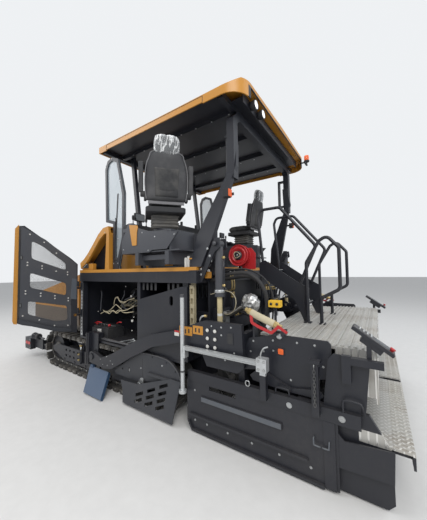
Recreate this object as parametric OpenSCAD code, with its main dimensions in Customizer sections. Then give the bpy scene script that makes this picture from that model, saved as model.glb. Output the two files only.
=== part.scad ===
// Asphalt paver on rubber-padded tracks, with a folding hopper and an extending screed.
// Millimetres. +X forward (hopper), +Y the machine's left side, +Z up, ground at Z = 0.

/* [Tracks] */
// Outer face of each track, from the middle plane
track_outer_y = 1280; // [1200:1400]
// Width of a track shoe
shoe_w = 305; // [250:400]
// Height of a track over its pads
track_h = 600; // [500:750]
// Front idler axle
idler_x = 2020; // [1800:2200]
// Rear drive sprocket axle
sprocket_x = -740; // [-900:-600]
// Shoes in one track
shoe_count = 44; // [36:52]
// Thickness of a rubber pad
pad_t = 28; // [20:40]
// Thickness of a shoe plate
shoe_t = 27; // [18:35]
// Height of the chain under the shoes
chain_t = 40; // [30:50]
// Track rollers on the ground run of one track
roller_count = 7; // [5:9]
// Radius of a track roller
roller_r = 70; // [55:80]
// Running gap between rollers and chain
roller_gap = 0.5; // [0.3:2]

/* [Chassis] */
// Half width of the hull between the tracks
hull_y = 900; // [800:950]
// Half width of the conveyor tunnel
tunnel_y = 520; // [450:600]
// Underside of the hull
hull_z0 = 180; // [150:250]
// Clearance between a track and the shelf over it
shelf_clear = 12; // [8:40]
// Thickness of the shelf over a track
shelf_t = 28; // [20:40]
// Underside of the tunnel roof
tunnel_z = 780; // [720:860]
// Rear end of the hull
hull_x0 = -1040; // [-1100:-950]
// Front bulkhead of the engine bay
bulkhead_x = 1113; // [1050:1200]
// Thickness of hull plates
hull_t = 30; // [15:40]
// Plate thickness of outer panels
panel_t = 20; // [8:30]

/* [Platform] */
// Top of the operator's platform
deck_z = 1705; // [1650:1850]
// Height of the yellow platform edge
edge_h = 45; // [30:100]
// Height of the dark band under it
band_h = 135; // [100:180]
// Rear edge of the platform
deck_x0 = -1305; // [-1400:-1200]
// Half width of the platform
deck_y = 1280; // [1200:1300]

/* [Hood] */
// Rear end of the engine hood
hood_x0 = 340; // [300:400]
// Height of the hood at its rear
hood_top = 2345; // [2200:2400]
// Height of the hood at its front
hood_front = 1820; // [1780:1900]
// Width of the sloping side strip
strip_w = 95; // [70:120]

/* [Canopy] */
// Front edge of the roof
roof_x1 = 579; // [450:700]
// Rear edge of the roof
roof_x0 = -1890; // [-2000:-1700]
// Half width of the roof
roof_y = 1283; // [1200:1300]
// Lower edge of the roof
roof_z = 3503; // [3300:3600]
// Height of the roof over its edge
roof_h = 187; // [150:250]
// Rounding of the rear corners
roof_r = 240; // [150:300]
// Skin thickness of the roof
roof_t = 12; // [6:30]
// Middle of the rear portal
portal_x = -1626; // [-1700:-1550]
// Half width over the portal posts
portal_y = 1049; // [950:1100]
// Foot of the slanted arm
arm_foot_x = -1276; // [-1350:-1200]
// Lower end of the portal posts
portal_z0 = 2750; // [2600:2900]

/* [Doors] */
// Length of an engine door
door_l = 770; // [700:820]
// Thickness of an engine door
door_t = 40; // [30:50]
// How far the doors stand open
door_open = 103; // [90:105]
// Hinge line from the middle plane
hinge_y = 1306; // [1300:1320]
// Height of the upper door hinge
door_hinge_z = 1440; // [1400:1460]

/* [Hopper] */
// Rear end of the hopper wings
wing_x0 = 1190; // [1170:1250]
// Front end of the hopper wings
wing_x1 = 2880; // [2700:3000]
// Outer face of a wing
wing_y = 1250; // [1200:1280]
// Wing hinge line from the middle plane
wing_hinge_y = 548; // [540:600]
// Wing hinge below the top of the tracks
wing_drop = 95; // [85:110]
// Height of a wing at its rear
wing_top0 = 1630; // [1500:1700]
// Height of a wing at its front
wing_top1 = 1260; // [1150:1400]
// Wing plate thickness
wing_t = 22; // [12:30]
// Top of the conveyor floor
floor_z = 410; // [380:440]

/* [Push rollers] */
// Axis of the push rollers
push_x = 3085; // [3050:3120]
// Height of the push rollers
push_z = 520; // [480:560]
// Radius of a push roller
push_r = 75; // [60:90]
// Swivel pin of the roller beam
push_pin_x = 2935; // [2920:2950]

/* [Tow arms] */
// Tow pin from the ground
tow_z = 420; // [380:460]
// Tow pin along the machine
tow_x = 620; // [580:660]
// Inner face of a tow arm
arm_y = 1302; // [1300:1320]
// Thickness of a tow arm
arm_t = 48; // [40:60]
// Radius of the tow pin
tow_r = 32; // [25:40]

/* [Screed] */
// Front of the main screed
screed_x1 = -1620; // [-1660:-1580]
// Rear of the main screed
screed_x0 = -2330; // [-2360:-2300]
// Half width of the main screed
screed_y = 1245; // [1225:1250]
// Underside of the screed plates
sole_z = 15; // [10:25]
// Top of the upper walkway
walk_z = 1040; // [1000:1100]
// Rear of the upper walkway
walk_x0 = -2920; // [-2960:-2880]
// Top of the extension boxes
ext_z = 420; // [380:430]
// Rear of the lower walkways
lower_x0 = -3110; // [-3150:-3050]
// Radius of the extension guide tubes
guide_r = 42; // [35:50]
// Front of an end gate
gate_x1 = -1215; // [-1240:-1190]
// Rear of an end gate
gate_x0 = -2810; // [-2850:-2750]
// Outer face of an end gate
gate_y = 1341; // [1335:1350]
// Top of the end gate's beam
gate_z = 610; // [590:620]
// Radius of an auger flight
auger_r = 195; // [150:210]
// Axis of the augers
auger_x = -1330; // [-1360:-1300]

/* [Lift cylinders] */
// Upper pin along the machine
lift_x = -1520; // [-1520:-1460]
// Upper pin height
lift_z = 1950; // [1900:2000]
// Lower eye height
lift_eye_z = 1030; // [1000:1060]
// Cylinder from the middle plane
lift_y = 1150; // [1140:1170]
// Outer radius of the barrel
barrel_r = 47; // [40:55]
// Radius of the rod
rod_r = 28; // [22:32]

/* [Seats] */
// Swivel axis of the seats
seat_x = -770; // [-800:-740]
// Left seat from the middle plane, slid out
seat_out = 1220; // [1150:1250]
// Right seat from the middle plane, slid in
seat_in = 950; // [920:1000]
// Floor of a seat's bellows
seat_z = 2140; // [2100:2200]
// Underside of the seat consoles above the ground
console_z = 1892; // [1840:1940]
// How far the left seat is turned inwards
seat_turn = 40; // [0:45]

/* [Stairs and rails] */
// Half width between the stair plates
stair_y = 330; // [300:360]
// Radius of the handrail tube
rail_r = 19; // [15:25]

/* [Hidden] */
$fa = 12;
$fs = 6;
gap = 0.3;
run = 0.05;
bend_in = 1;
bend_thin = 0.15;
track_r = track_h / 2;
chain_r = track_r - pad_t - shoe_t;
track_y0 = track_outer_y - shoe_w;
tail_x = sprocket_x - track_r;
track_l = idler_x - sprocket_x;
loop_l = 2 * track_l + 2 * PI * chain_r;
chain_in = chain_r - chain_t;
shelf_z = track_h + shelf_clear;
beam_z = shelf_z + shelf_t;
wing_hinge_z = track_h - wing_drop;
band_z = deck_z - edge_h - band_h;
slab_z = deck_z - edge_h;
arm_lean = atan2(deck_y - 20 - portal_y, portal_z0 - deck_z);
stalk_y = deck_y - 20 - (2466 - deck_z) * tan(arm_lean) + gap;
cyl_len = lift_z - lift_eye_z;
roof_crown = roof_z + roof_h - roof_t - gap;

// Helpers

module bx(x0, x1, y0, y1, z0, z1) {
    translate([x0, y0, z0]) cube([x1 - x0, y1 - y0, z1 - z0]);
}

module side_plate(y0, y1, pts) {
    translate([0, y1, 0]) rotate([90, 0, 0]) linear_extrude(y1 - y0) polygon(pts);
}

module cross_plate(x0, x1, pts) {
    translate([x0, 0, 0]) rotate([90, 0, 90]) linear_extrude(x1 - x0) polygon(pts);
}

module flat_plate(z0, z1, pts) {
    translate([0, 0, z0]) linear_extrude(z1 - z0) polygon(pts);
}

module pin_y(x, z, r, y0, y1) {
    translate([x, y1, z]) rotate([90, 0, 0]) cylinder(h = y1 - y0, r = r);
}

module pin_x(y, z, r, x0, x1) {
    translate([x0, y, z]) rotate([0, 90, 0]) cylinder(h = x1 - x0, r = r);
}

module pin_z(x, y, r, z0, z1) {
    translate([x, y, z0]) cylinder(h = z1 - z0, r = r);
}

module both() {
    children();
    mirror([0, 1, 0]) children();
}

module on_side(s) {
    if (s > 0) children();
    else mirror([0, 1, 0]) children();
}

function unit(v) = v / norm(v);
function turn_of(p, i) = let (u = unit(p[i] - p[i - 1]), v = unit(p[i + 1] - p[i]))
    atan2(u.x * v.y - u.y * v.x, u * v);
function cut_of(p, i, rad) = rad * tan(abs(turn_of(p, i)) / 2);

// A round tube bent in the plane of X and Z, through the points p, at a distance y.
module bent_tube(p, r, rad, y) {
    n = len(p);
    translate([0, y, 0]) {
        for (i = [0 : n - 2]) {
            d = unit(p[i + 1] - p[i]);
            a = p[i] + d * (i == 0 ? 0 : cut_of(p, i, rad) - bend_in);
            b = p[i + 1] - d * (i == n - 2 ? 0 : cut_of(p, i + 1, rad) - bend_in);
            translate([a.x, 0, a.y])
                rotate([0, atan2(d.x, d.y), 0])
                    cylinder(h = norm(b - a), r = r);
        }
        for (i = [1 : n - 2]) {
            t = turn_of(p, i);
            s = t > 0 ? 1 : -1;
            u = unit(p[i] - p[i - 1]);
            start = p[i] - u * cut_of(p, i, rad);
            c = start + [-u.y, u.x] * rad * s;
            a0 = atan2(start.y - c.y, start.x - c.x);
            translate([c.x, 0, c.y])
                rotate([90, 0, 0])
                    rotate([0, 0, s > 0 ? a0 : a0 + t])
                        rotate_extrude(angle = abs(t)) translate([rad, 0]) circle(r - bend_thin);
        }
    }
}

// Tracks

// Centre and turn of a shoe at a distance s along the loop's chain line.
module at_loop(s) {
    arc = PI * chain_r;
    if (s < track_l) {
        translate([sprocket_x + s, track_r - chain_r]) rotate(180) children();
    } else if (s < track_l + arc) {
        a = (s - track_l) / arc * 180;
        translate([idler_x, track_r]) rotate(a - 90) translate([chain_r, 0]) rotate(-90) children();
    } else if (s < 2 * track_l + arc) {
        translate([idler_x - (s - track_l - arc), track_r + chain_r]) children();
    } else {
        a = (s - 2 * track_l - arc) / arc * 180;
        translate([sprocket_x, track_r]) rotate(a + 90) translate([chain_r, 0]) rotate(-90) children();
    }
}

module shoe_outline() {
    pitch = loop_l / shoe_count;
    h = pitch * 0.42;
    k = pitch * 0.33;
    polygon([[-h, -3], [h, -3], [h, shoe_t], [k, shoe_t + 4], [k - 6, shoe_t + pad_t],
        [6 - k, shoe_t + pad_t], [-k, shoe_t + 4], [-h, shoe_t]]);
}

module loop_disc(r) {
    translate([sprocket_x, track_r]) circle(r);
    translate([idler_x, track_r]) circle(r);
    translate([sprocket_x, track_r - r]) square([track_l, 2 * r]);
}

module track() {
    mid = track_outer_y - shoe_w / 2;
    translate([0, track_outer_y, 0]) rotate([90, 0, 0]) linear_extrude(shoe_w)
        for (i = [0 : shoe_count - 1]) at_loop((i + 0.5) * loop_l / shoe_count) shoe_outline();
    translate([0, mid + 58, 0]) rotate([90, 0, 0]) linear_extrude(116)
        difference() {
            loop_disc(chain_r);
            loop_disc(chain_in);
        }
}

module track_left() {
    color("#2c2c2e") track();
}

module track_right() {
    color("#2c2c2e") mirror([0, 1, 0]) track();
}

module track_side_frame() {
    mid = track_outer_y - shoe_w / 2;
    y0 = mid - 100;
    y1 = mid + 100;
    zr = track_r - chain_in + roller_r + roller_gap;
    span = track_l - 2 * track_r;
    ztop = track_r + 90;
    // outer plate, drilled in two rows
    difference() {
        union() {
            side_plate(y1, y1 + 18, [[sprocket_x + 60, track_r - 60], [sprocket_x + 330, zr - 20],
                [idler_x - 330, zr - 20], [idler_x - 60, track_r - 60], [idler_x + 60, track_r - 40],
                [idler_x + 60, track_r + 40], [idler_x - 180, ztop], [sprocket_x + 260, ztop],
                [sprocket_x + 60, track_r + 60]]);
            side_plate(y0 - 18, y0, [[sprocket_x - 60, track_r - 60], [sprocket_x + 330, zr - 20],
                [idler_x - 330, zr - 20], [idler_x + 60, track_r - 60], [idler_x + 60, track_r + 60],
                [idler_x - 180, ztop], [sprocket_x + 260, ztop], [sprocket_x - 60, track_r + 60]]);
            bx(sprocket_x + 300, idler_x - 300, y0, y1, ztop - 70, ztop - 40);
            bx(sprocket_x + 300, sprocket_x + 340, y0, y1, track_r - 40, ztop - 40);
            bx(idler_x - 340, idler_x - 300, y0, y1, track_r - 40, ztop - 40);
        }
        for (i = [0 : 8], k = [0, 1])
            translate([idler_x - 420 - 130 * i, y1 + 9, ztop - 62 - 92 * k])
                cube([46, 40, 36], center = true);
    }
    for (i = [0 : roller_count - 1]) {
        x = sprocket_x + track_r + 60 + i * (span - 120) / (roller_count - 1);
        pin_y(x, zr, roller_r - 12, y0 + 12, y1 - 12);
        for (s = [-1, 1]) pin_y(x, zr, roller_r, mid + s * 66 - 14, mid + s * 66 + 14);
        pin_y(x, zr, 22, y0 - 6, y1 + 26);
    }
    for (x = [sprocket_x + 900, idler_x - 900]) {
        pin_y(x, track_r + chain_in - 45 - roller_gap, 45, mid - 50, mid + 50);
        bx(x - 12, x + 12, mid + 50, mid + 62, ztop - 40, track_r + chain_in - 45);
        bx(x - 12, x + 12, mid - 62, mid - 50, ztop - 40, track_r + chain_in - 45);
    }
    // idler and sprocket inside the chain
    pin_y(idler_x, track_r, chain_in - roller_gap, mid - 45, mid + 45);
    pin_y(idler_x, track_r, 55, y0, y1);
    pin_y(sprocket_x, track_r, chain_in - roller_gap, mid - 30, mid + 30);
    pin_y(sprocket_x, track_r, 120, y0, mid + 80);
    // cross tubes to the hull
    for (x = [sprocket_x + 300, idler_x - 620])
        bx(x, x + 160, hull_y, y0 - 18, track_r - 90, ztop - 10);
}

module undercarriage() {
    color("#3a3c40") both() track_side_frame();
}

// Hull, panels and covers

module chassis() {
    color("#3b3d42") {
        both() {
            // side beam beside the conveyor tunnel, open at its rear lamp box
            bx(hull_x0, bulkhead_x, tunnel_y, hull_y, hull_z0, beam_z);
            bx(hull_x0, bulkhead_x, tunnel_y, tunnel_y + hull_t, beam_z, tunnel_z);
            // shelf above the track
            bx(hull_x0 - 60, bulkhead_x, hull_y, track_outer_y - 20, shelf_z, beam_z);
            // grey side panel with its oval hole, in a bent plate
            difference() {
                side_plate(deck_y - 45, deck_y - 45 + panel_t, [[-1150, beam_z], [-300, beam_z],
                    [-300, 1290], [-330, 1300], [-1060, 1480], [-1150, 1480]]);
                hull_slot(-905, 1310);
            }
            // corner posts under the platform
            bx(-1150, -1070, deck_y - 125, deck_y - 45, beam_z, slab_z - 30);
            bx(-330, -270, deck_y - 105, deck_y - 45, beam_z, slab_z - 30);
            bx(bulkhead_x - 70, bulkhead_x, deck_y - 100, deck_y - 20, beam_z, band_z);
            bx(bulkhead_x - 70, bulkhead_x - 26, deck_y - 100, deck_y - 26, band_z, slab_z - 30);
            // slotted bracket behind the panel
            difference() {
                bx(-1230, -1172, deck_y - 70, deck_y - 46, 1010, 1500);
                for (z = [1070, 1180, 1290, 1400]) bx(-1218, -1184, deck_y - 80, deck_y - 40, z, z + 62);
            }
            bx(-1230, -1150, deck_y - 90, deck_y - 70, 1000, 1520);
            // tow guide beside the arm's end
            side_plate(track_outer_y + 4, arm_y - 3, [[tow_x - 70, tow_z - 110], [tow_x + 160, tow_z - 130],
                [tow_x + 160, beam_z + 110], [tow_x - 90, beam_z + 110]]);
            bx(tow_x + 92, tow_x + 112, arm_y - 3, arm_y + arm_t, tow_z - 130, beam_z + 110);
            bx(tow_x + 140, tow_x + 160, arm_y - 3, arm_y + arm_t, tow_z - 130, beam_z + 110);
            bx(tow_x - 60, tow_x + 160, deck_y - 80, track_outer_y + 4, beam_z, beam_z + 110);
            pin_y(tow_x, tow_z, tow_r, arm_y - 3, arm_y + arm_t + 12);
            pin_y(tow_x, tow_z, tow_r + 14, arm_y + arm_t + 4, arm_y + arm_t + 14);
            door_pins();
            wing_lugs();
        }
        // tunnel roof and rear and front bulkheads of the bay
        bx(-1140, bulkhead_x, -tunnel_y - hull_t, tunnel_y + hull_t, tunnel_z, tunnel_z + panel_t);
        bay_wall(-330, -310, slab_z - 30);
        bay_wall(bulkhead_x, bulkhead_x + panel_t, slab_z);
        // rear cross wall with its grille openings
        difference() {
            bx(-1150, -1130, -deck_y + 125, deck_y - 125, tunnel_z, slab_z - 30);
            for (s = [-1, 1], i = [0 : 5]) bx(-1160, -1120, s * 850 - 240 + i * 84, s * 850 - 196 + i * 84, 1330, 1480);
        }
        bx(hull_x0 - 30, hull_x0, -hull_y, -tunnel_y, hull_z0, beam_z);
        bx(hull_x0 - 30, hull_x0, tunnel_y, hull_y, hull_z0, beam_z);
        auger_carrier();
    }
}

module hull_slot(x, z) {
    pin_y(x, z + 30, 28, deck_y - 90, deck_y + 20);
    pin_y(x, z - 30, 28, deck_y - 90, deck_y + 20);
    bx(x - 28, x + 28, deck_y - 90, deck_y + 20, z - 30, z + 30);
}

module bay_wall(x0, x1, top) {
    bx(x0, x1, -deck_y + 105, deck_y - 105, tunnel_z + 2, top);
    both() bx(x0, x1, tunnel_y + 10, deck_y - 105, beam_z - 20, tunnel_z + panel_t);
}

module door_pins() {
    for (z = [1010, door_hinge_z]) {
        bx(bulkhead_x - 18, bulkhead_x + 18, deck_y - 100, hinge_y + 12, z - 40, z - 12);
        pin_z(bulkhead_x, hinge_y, 9, z - 20, z + 84);
        bx(bulkhead_x - 60, bulkhead_x - 18, deck_y - 100, deck_y - 2, z - 60, z + 60);
    }
}

module wing_lugs() {
    for (x = [wing_x0 + 60, 1900, wing_x1 - 100]) {
        pin_x(wing_hinge_y, wing_hinge_z, 14, x - 45, x + 45);
        for (s = [-1, 1])
            bx(x + s * 36 - 8, x + s * 36 + 8, tunnel_y + 4, wing_hinge_y + 14, floor_z - 60, wing_hinge_z + 14);
    }
    bx(bulkhead_x, wing_x1, tunnel_y + 2, wing_hinge_y + 20, floor_z - 130, floor_z - 50);
}

// Bearing arms and gear case that carry the augers behind the hull.
module auger_carrier() {
    z = sole_z + auger_r + 60;
    bx(auger_x - 90, auger_x + 90, -34, 34, z - 110, z + 220);
    bx(auger_x - 60, hull_x0 - 30, -34, 34, z + 130, z + 220);
    both() {
        pin_y(auger_x, z, 30, 34, 86);
    }
    bx(hull_x0 - 30, hull_x0, -tunnel_y, tunnel_y, z + 100, z + 140);
}

// Outside of the rim over the sprocket, from its front end to its rear end.
function rim_line() = [[sprocket_x + 560, track_h + 8], [sprocket_x + 380, track_h + 40],
    [sprocket_x - 50, track_h + 40], [tail_x + 90, track_h], [tail_x - 20, track_r + 200],
    [tail_x - 45, track_r + 100]];

module track_covers() {
    color("#54565b") both() {
        difference() {
            side_plate(track_outer_y + 4, track_outer_y + 11, [[150, 290], [-70, 440], [-180, 520],
                [-360, 580], [-780, 600], [-930, 570], [-1030, 480], [-1050, 400], [-1010, 370],
                [-410, 290], [-330, 262], [100, 262]]);
            pin_y(-40, 360, 14, track_outer_y, track_outer_y + 30);
        }
        // rounded rim over the sprocket
        side_plate(track_outer_y - 20 + gap, track_outer_y + 15, concat(rim_line(), [
            [tail_x - 26, track_r + 100], [tail_x - 5, track_r + 192], [tail_x + 100, track_h - 16],
            [sprocket_x - 46, track_h + 22], [sprocket_x + 378, track_h + 22], [sprocket_x + 554, track_h + 6]]));
        side_plate(track_outer_y + 11, track_outer_y + 15, concat(rim_line(), [
            [tail_x + 10, track_r + 100], [tail_x + 40, track_r + 170], [tail_x + 120, track_h - 40],
            [sprocket_x - 40, track_h - 10], [sprocket_x + 370, track_h - 28], [sprocket_x + 554, track_h - 80]]));
        // slotted side plate, leaning outwards to the ground
        translate([0, track_outer_y + 150, sole_z + 15]) rotate([16, 0, 0])
            difference() {
                side_plate(-12, 0, [[-230, 0], [-1070, 0], [-1095, 420], [-940, 420], [-420, 250],
                    [-100, 235], [-180, 130]]);
                for (p = [[-857, 328], [-857, 251], [-857, 178], [-857, 106], [-676, 243], [-676, 171], [-676, 98], [-494, 160], [-494, 88]])
                    translate([p[0], 0, p[1]]) rotate([0, 24, 0])
                        cube([132, 60, 36], center = true);
            }
        bx(-1060, -560, track_outer_y + 4, track_outer_y + 36, 395, 425);
        // deflector plate beside the tow guide, on its bracket
        bx(600, 660, track_outer_y + 4, track_outer_y + 62, 262, 300);
        translate([0, track_outer_y + 270, sole_z + 10]) rotate([43, 0, 0]) {
            side_plate(-12, 0, [[60, 0], [470, 0], [700, 330], [230, 330]]);
            side_plate(-44, -12, [[60, 0], [110, 0], [290, 330], [230, 330]]);
        }
    }
}

// Platform, hood and what stands on them

module platform() {
    color("#33353a") {
        difference() {
            bx(deck_x0, bulkhead_x, -deck_y, deck_y, band_z, slab_z);
            bx(deck_x0 + 25, bulkhead_x - 25, -deck_y + 25, deck_y - 25, band_z - 1, slab_z - 30);
        }
        bx(deck_x0 + 20, hood_x0 - 20, -deck_y + 60, deck_y - 60, slab_z, deck_z);
        // rails under the sliding seat consoles
        both() for (x = [seat_x - 260, seat_x + 250]) bx(x, x + 60, 420, deck_y - 70, deck_z, deck_z + 34);
        both() lift_ears();
    }
}

module lift_ears() {
    for (s = [-1, 1])
        side_plate(lift_y + s * 67 - 9, lift_y + s * 67 + 9, [[deck_x0, band_z + 10], [deck_x0, deck_z - 10],
            [deck_x0 - 57, deck_z], [lift_x + 16, lift_z + 40], [lift_x + 10, lift_z + 62], [lift_x - 50, lift_z + 60],
            [lift_x - 62, lift_z - 40], [lift_x + 10, lift_z - 90], [deck_x0 - 30, band_z + 10]]);
    pin_y(lift_x, lift_z, 24, lift_y - 90, lift_y + 90);
}

function hood_line() = [[hood_x0, hood_top], [470, hood_top - 15], [600, 2245], [760, 2085], [900, 1955],
    [1010, 1875], [bulkhead_x, hood_front]];

module hood() {
    top = hood_line();
    n = len(top);
    skin = concat(top, [for (i = [n - 1 : -1 : 0]) top[i] - [0, 14]]);
    strip = concat(top, [for (i = [n - 1 : -1 : 0]) top[i] - [20, strip_w]]);
    color("#e0a526") {
        side_plate(-deck_y + 40, deck_y - 40, skin);
        both() {
            difference() {
                side_plate(deck_y - 40, deck_y - 4, strip);
                bx(bulkhead_x - 120, bulkhead_x + 5, deck_y - 60, deck_y + 5, slab_z - 10, deck_z);
            }
            // yellow post beside the hood
            side_plate(deck_y - 90, deck_y - 4, [[hood_x0 - 30, deck_z], [hood_x0 + 75, deck_z],
                [hood_x0 + 40, hood_top - strip_w], [hood_x0 - 20, hood_top - strip_w]]);
        }
        bx(bulkhead_x - 24, bulkhead_x, -deck_y + 60, deck_y - 60, slab_z, hood_front - 40);
        bx(hood_x0 - 20, hood_x0, -deck_y + 100, deck_y - 100, slab_z, hood_top - 20);
    }
}

// Yellow edge round the platform
module deck_edge() {
    color("#e0a526") {
        both() bx(deck_x0, bulkhead_x, deck_y - 60, deck_y, slab_z, deck_z);
        bx(deck_x0, deck_x0 + 20, -deck_y + 60, deck_y - 60, slab_z, deck_z);
    }
}

module engine_block() {
    z0 = tunnel_z + panel_t;
    color("#4b4d50") {
        bx(-150, 700, -300, 300, z0 + 60, z0 + 480);
        bx(-120, 670, -120, 120, z0 + 480, z0 + 640);
        for (x = [-100, 560]) both() bx(x, x + 90, 300, 360, z0, z0 + 190);
        bx(-60, 640, -380, -300, z0 + 300, z0 + 420);
        for (i = [0 : 5]) bx(-90 + i * 130, -20 + i * 130, 120, 240, z0 + 480, z0 + 560);
        pin_x(0, z0 + 220, 120, 700, 760);
        pin_x(0, z0 + 430, 190, 760, 800);
        pin_x(0, z0 + 430, 40, 700, 760);
        // intake cleaner and pipe beside the block
        pin_x(430, z0 + 560, 110, -100, 380);
        bx(100, 180, 300, 430, z0 + 400, z0 + 480);
    }
}

module battery_box() {
    color("#202226") {
        bx(480, 900, 900, 1180, beam_z, beam_z + 150);
        bx(495, 680, 930, 1160, beam_z + 150, beam_z + 176);
        bx(700, 885, 930, 1160, beam_z + 150, beam_z + 176);
        for (x = [530, 645, 735, 850]) pin_z(x, 1120, 14, beam_z + 176, beam_z + 196);
    }
}

module control_console() {
    color("#2a2c30") {
        side_plate(-300, 300, [[-330, deck_z], [-40, deck_z], [-10, 2280], [-60, 2420], [-250, 2360], [-300, 2200]]);
        side_plate(-230, 230, [[-250, 2362], [-62, 2422], [-80, 2480], [-268, 2420]]);
        for (y = [-200, 200]) pin_z(-150, y, 22, 2380, 2520);
    }
}

// Seats

module seat_console() {
    y0 = -250;
    color("#55585d") translate([seat_x, 0, 0]) {
        // runners over the platform's rails
        for (x = [-260, 250]) bx(x, x + 60, y0, 200, deck_z + 34 + gap, console_z);
        bx(-390, 610, y0, 170, console_z, console_z + 16);
        // outer plate with its cut-away rear corner
        side_plate(170, 186, [[600, console_z], [75, console_z], [30, console_z + 24],
            [-215, console_z + 24], [-384, seat_z - 45], [98, seat_z + 10], [271, seat_z + 62],
            [400, seat_z + 140], [471, seat_z + 140], [540, seat_z + 20], [600, seat_z - 90]]);
        side_plate(y0, y0 + 16, [[610, console_z + 16], [-390, console_z + 16], [-390, seat_z - 20], [610, seat_z - 20]]);
        bx(-270, 270, y0, 170, seat_z - 20, seat_z);
        bx(-270, -240, y0 + 16, 170, console_z + 16, seat_z - 20);
        bx(240, 270, y0 + 16, 170, console_z + 16, seat_z - 20);
        // armrest console in front of the seat
        bx(470, 600, y0 + 16, 170, seat_z + 40, seat_z + 86);
        bx(480, 590, -60, 60, console_z + 16, seat_z + 40);
    }
}

module seat_console_left() {
    translate([0, seat_out, 0]) seat_console();
}

module seat_console_right() {
    mirror([0, 1, 0]) translate([0, seat_in, 0]) seat_console();
}

module seat() {
    color("#2f3034") {
        // bellows in four folds on a swivel plate
        pin_z(0, 0, 150, seat_z + gap, seat_z + 96);
        for (i = [0 : 2]) translate([0, 0, seat_z + 96 + i * 35]) {
            bx(-150, 150, -165, 165, 0, 21);
            bx(-135, 135, -150, 150, 21, 35);
        }
        bx(-240, 250, -235, 235, seat_z + 200, seat_z + 270);
        // cushion
        translate([0, 0, seat_z + 270]) linear_extrude(110)
            polygon([[-190, -225], [200, -235], [270, -190], [280, 0], [270, 190], [200, 235], [-190, 225]]);
        // back with its waist and shoulders
        translate([-215, 0, seat_z + 300]) rotate([0, -9, 0]) {
            cross_plate(-75, 45, [[-235, 0], [-245, 200], [-225, 420], [-160, 560], [160, 560],
                [225, 420], [245, 200], [235, 0]]);
            // pocket on the back
            cross_plate(-95, -75, [[-125, 60], [-135, 380], [135, 380], [125, 60]]);
            cross_plate(-55, 30, [[-110, 560], [-130, 640], [-110, 740], [110, 740], [130, 640], [110, 560]]);
        }
        for (s = [-1, 1]) {
            // raised armrests
            translate([-230, s * 282, seat_z + 420]) rotate([0, -9, 0]) bx(-30, 40, -28, 28, 0, 330);
            bx(-250, -190, min(s * 235, s * 300), max(s * 235, s * 300), seat_z + 330, seat_z + 440);
            bx(-250, -180, min(s * 225, s * 250), max(s * 225, s * 250), seat_z + 230, seat_z + 440);
        }
    }
}

module seat_left() {
    translate([seat_x, seat_out, 0]) rotate([0, 0, -seat_turn]) seat();
}

module seat_right() {
    translate([seat_x, -seat_in, 0]) seat();
}

// Canopy

module roof_form(o) {
    // crowned section cut by a plan with rounded rear corners; o is the distance inside the outer skin
    x0 = roof_x0 + o;
    x1 = roof_x1 - o;
    y = roof_y - o;
    r = roof_r - o;
    intersection() {
        cross_plate(x0 - 10, x1 + 10, [[-y, roof_z - o], [-y, roof_z + 95], [-y + 100, roof_z + roof_h - 25 - o],
            [0, roof_z + roof_h - o], [y - 100, roof_z + roof_h - 25 - o], [y, roof_z + 95], [y, roof_z - o]]);
        translate([0, 0, roof_z - o - 1]) linear_extrude(roof_h + 40) {
            translate([x0 + r, -y + r]) circle(r);
            translate([x0 + r, y - r]) circle(r);
            translate([x0, -y + r]) square([2 * r, 2 * (y - r)]);
            translate([x0 + r, -y]) square([x1 - x0 - r, 2 * y]);
        }
    }
}

module canopy_roof() {
    color("#e0a526") difference() {
        roof_form(0);
        roof_form(roof_t);
        // rear fascia left open between the rounded corners, and the step of the side flap
        bx(roof_x0 - 10, roof_x0 + roof_t + 4, roof_r - roof_y, roof_y - roof_r, roof_z - 20, roof_z + 120);
        both() bx(roof_x0 + 470, roof_x1 - 190, roof_y - 30, roof_y + 10, roof_z - 20, roof_z + 14);
    }
}

module canopy_frame() {
    color("#2e3036") {
        // liner with its ribs
        bx(roof_x0 + roof_r, roof_x1 - 30, -roof_y + 40, roof_y - 40, roof_z + 60, roof_z + 72);
        for (y = [-900, -300, 300, 900]) bx(roof_x0 + roof_r + 10, roof_x1 - 40, y - 25, y + 25, roof_z + 12, roof_z + 60);
        bx(roof_x0 + roof_r, roof_x0 + roof_r + 60, -roof_y + 40, roof_y - 40, roof_z, roof_z + 60);
        // dark rear fascia behind the work lamps
        bx(roof_x0 + 96, roof_x0 + 108, roof_r - roof_y, roof_y - roof_r, roof_z + 6, roof_z + 110);
        bx(roof_x0 + 108, roof_x0 + roof_r, roof_r - roof_y, roof_y - roof_r, roof_z + 60, roof_z + 72);
        bx(roof_x1 - 90, roof_x1 - 30, -roof_y + 40, roof_y - 40, roof_z + 5, roof_z + 60);
        // bows between the liner and the roof's skin
        for (x = [roof_x0 + 380, -650, roof_x1 - 300])
            cross_plate(x, x + 30, [[-1100, roof_z + 72], [1100, roof_z + 72], [1100, roof_crown - 23.5],
                [0, roof_crown], [-1100, roof_crown - 23.5]]);
        portal();
        both() {
            slanted_arm();
            // front post
            side_plate(770, 830, [[90, deck_z + gap], [150, deck_z + gap], [406, roof_z + 60], [346, roof_z + 60]]);
            bx(60, 180, 740, 860, deck_z, deck_z + 14);
            // gas strut between the portal and the roof
            pin_z(portal_x + 110, portal_y - 130, 24, portal_z0 + 50, portal_z0 + 490);
            for (z = [portal_z0 + 30, portal_z0 + 480])
                bx(portal_x + 30, portal_x + 128, portal_y - 148, portal_y - 94, z, z + 30);
        }
    }
}

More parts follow.
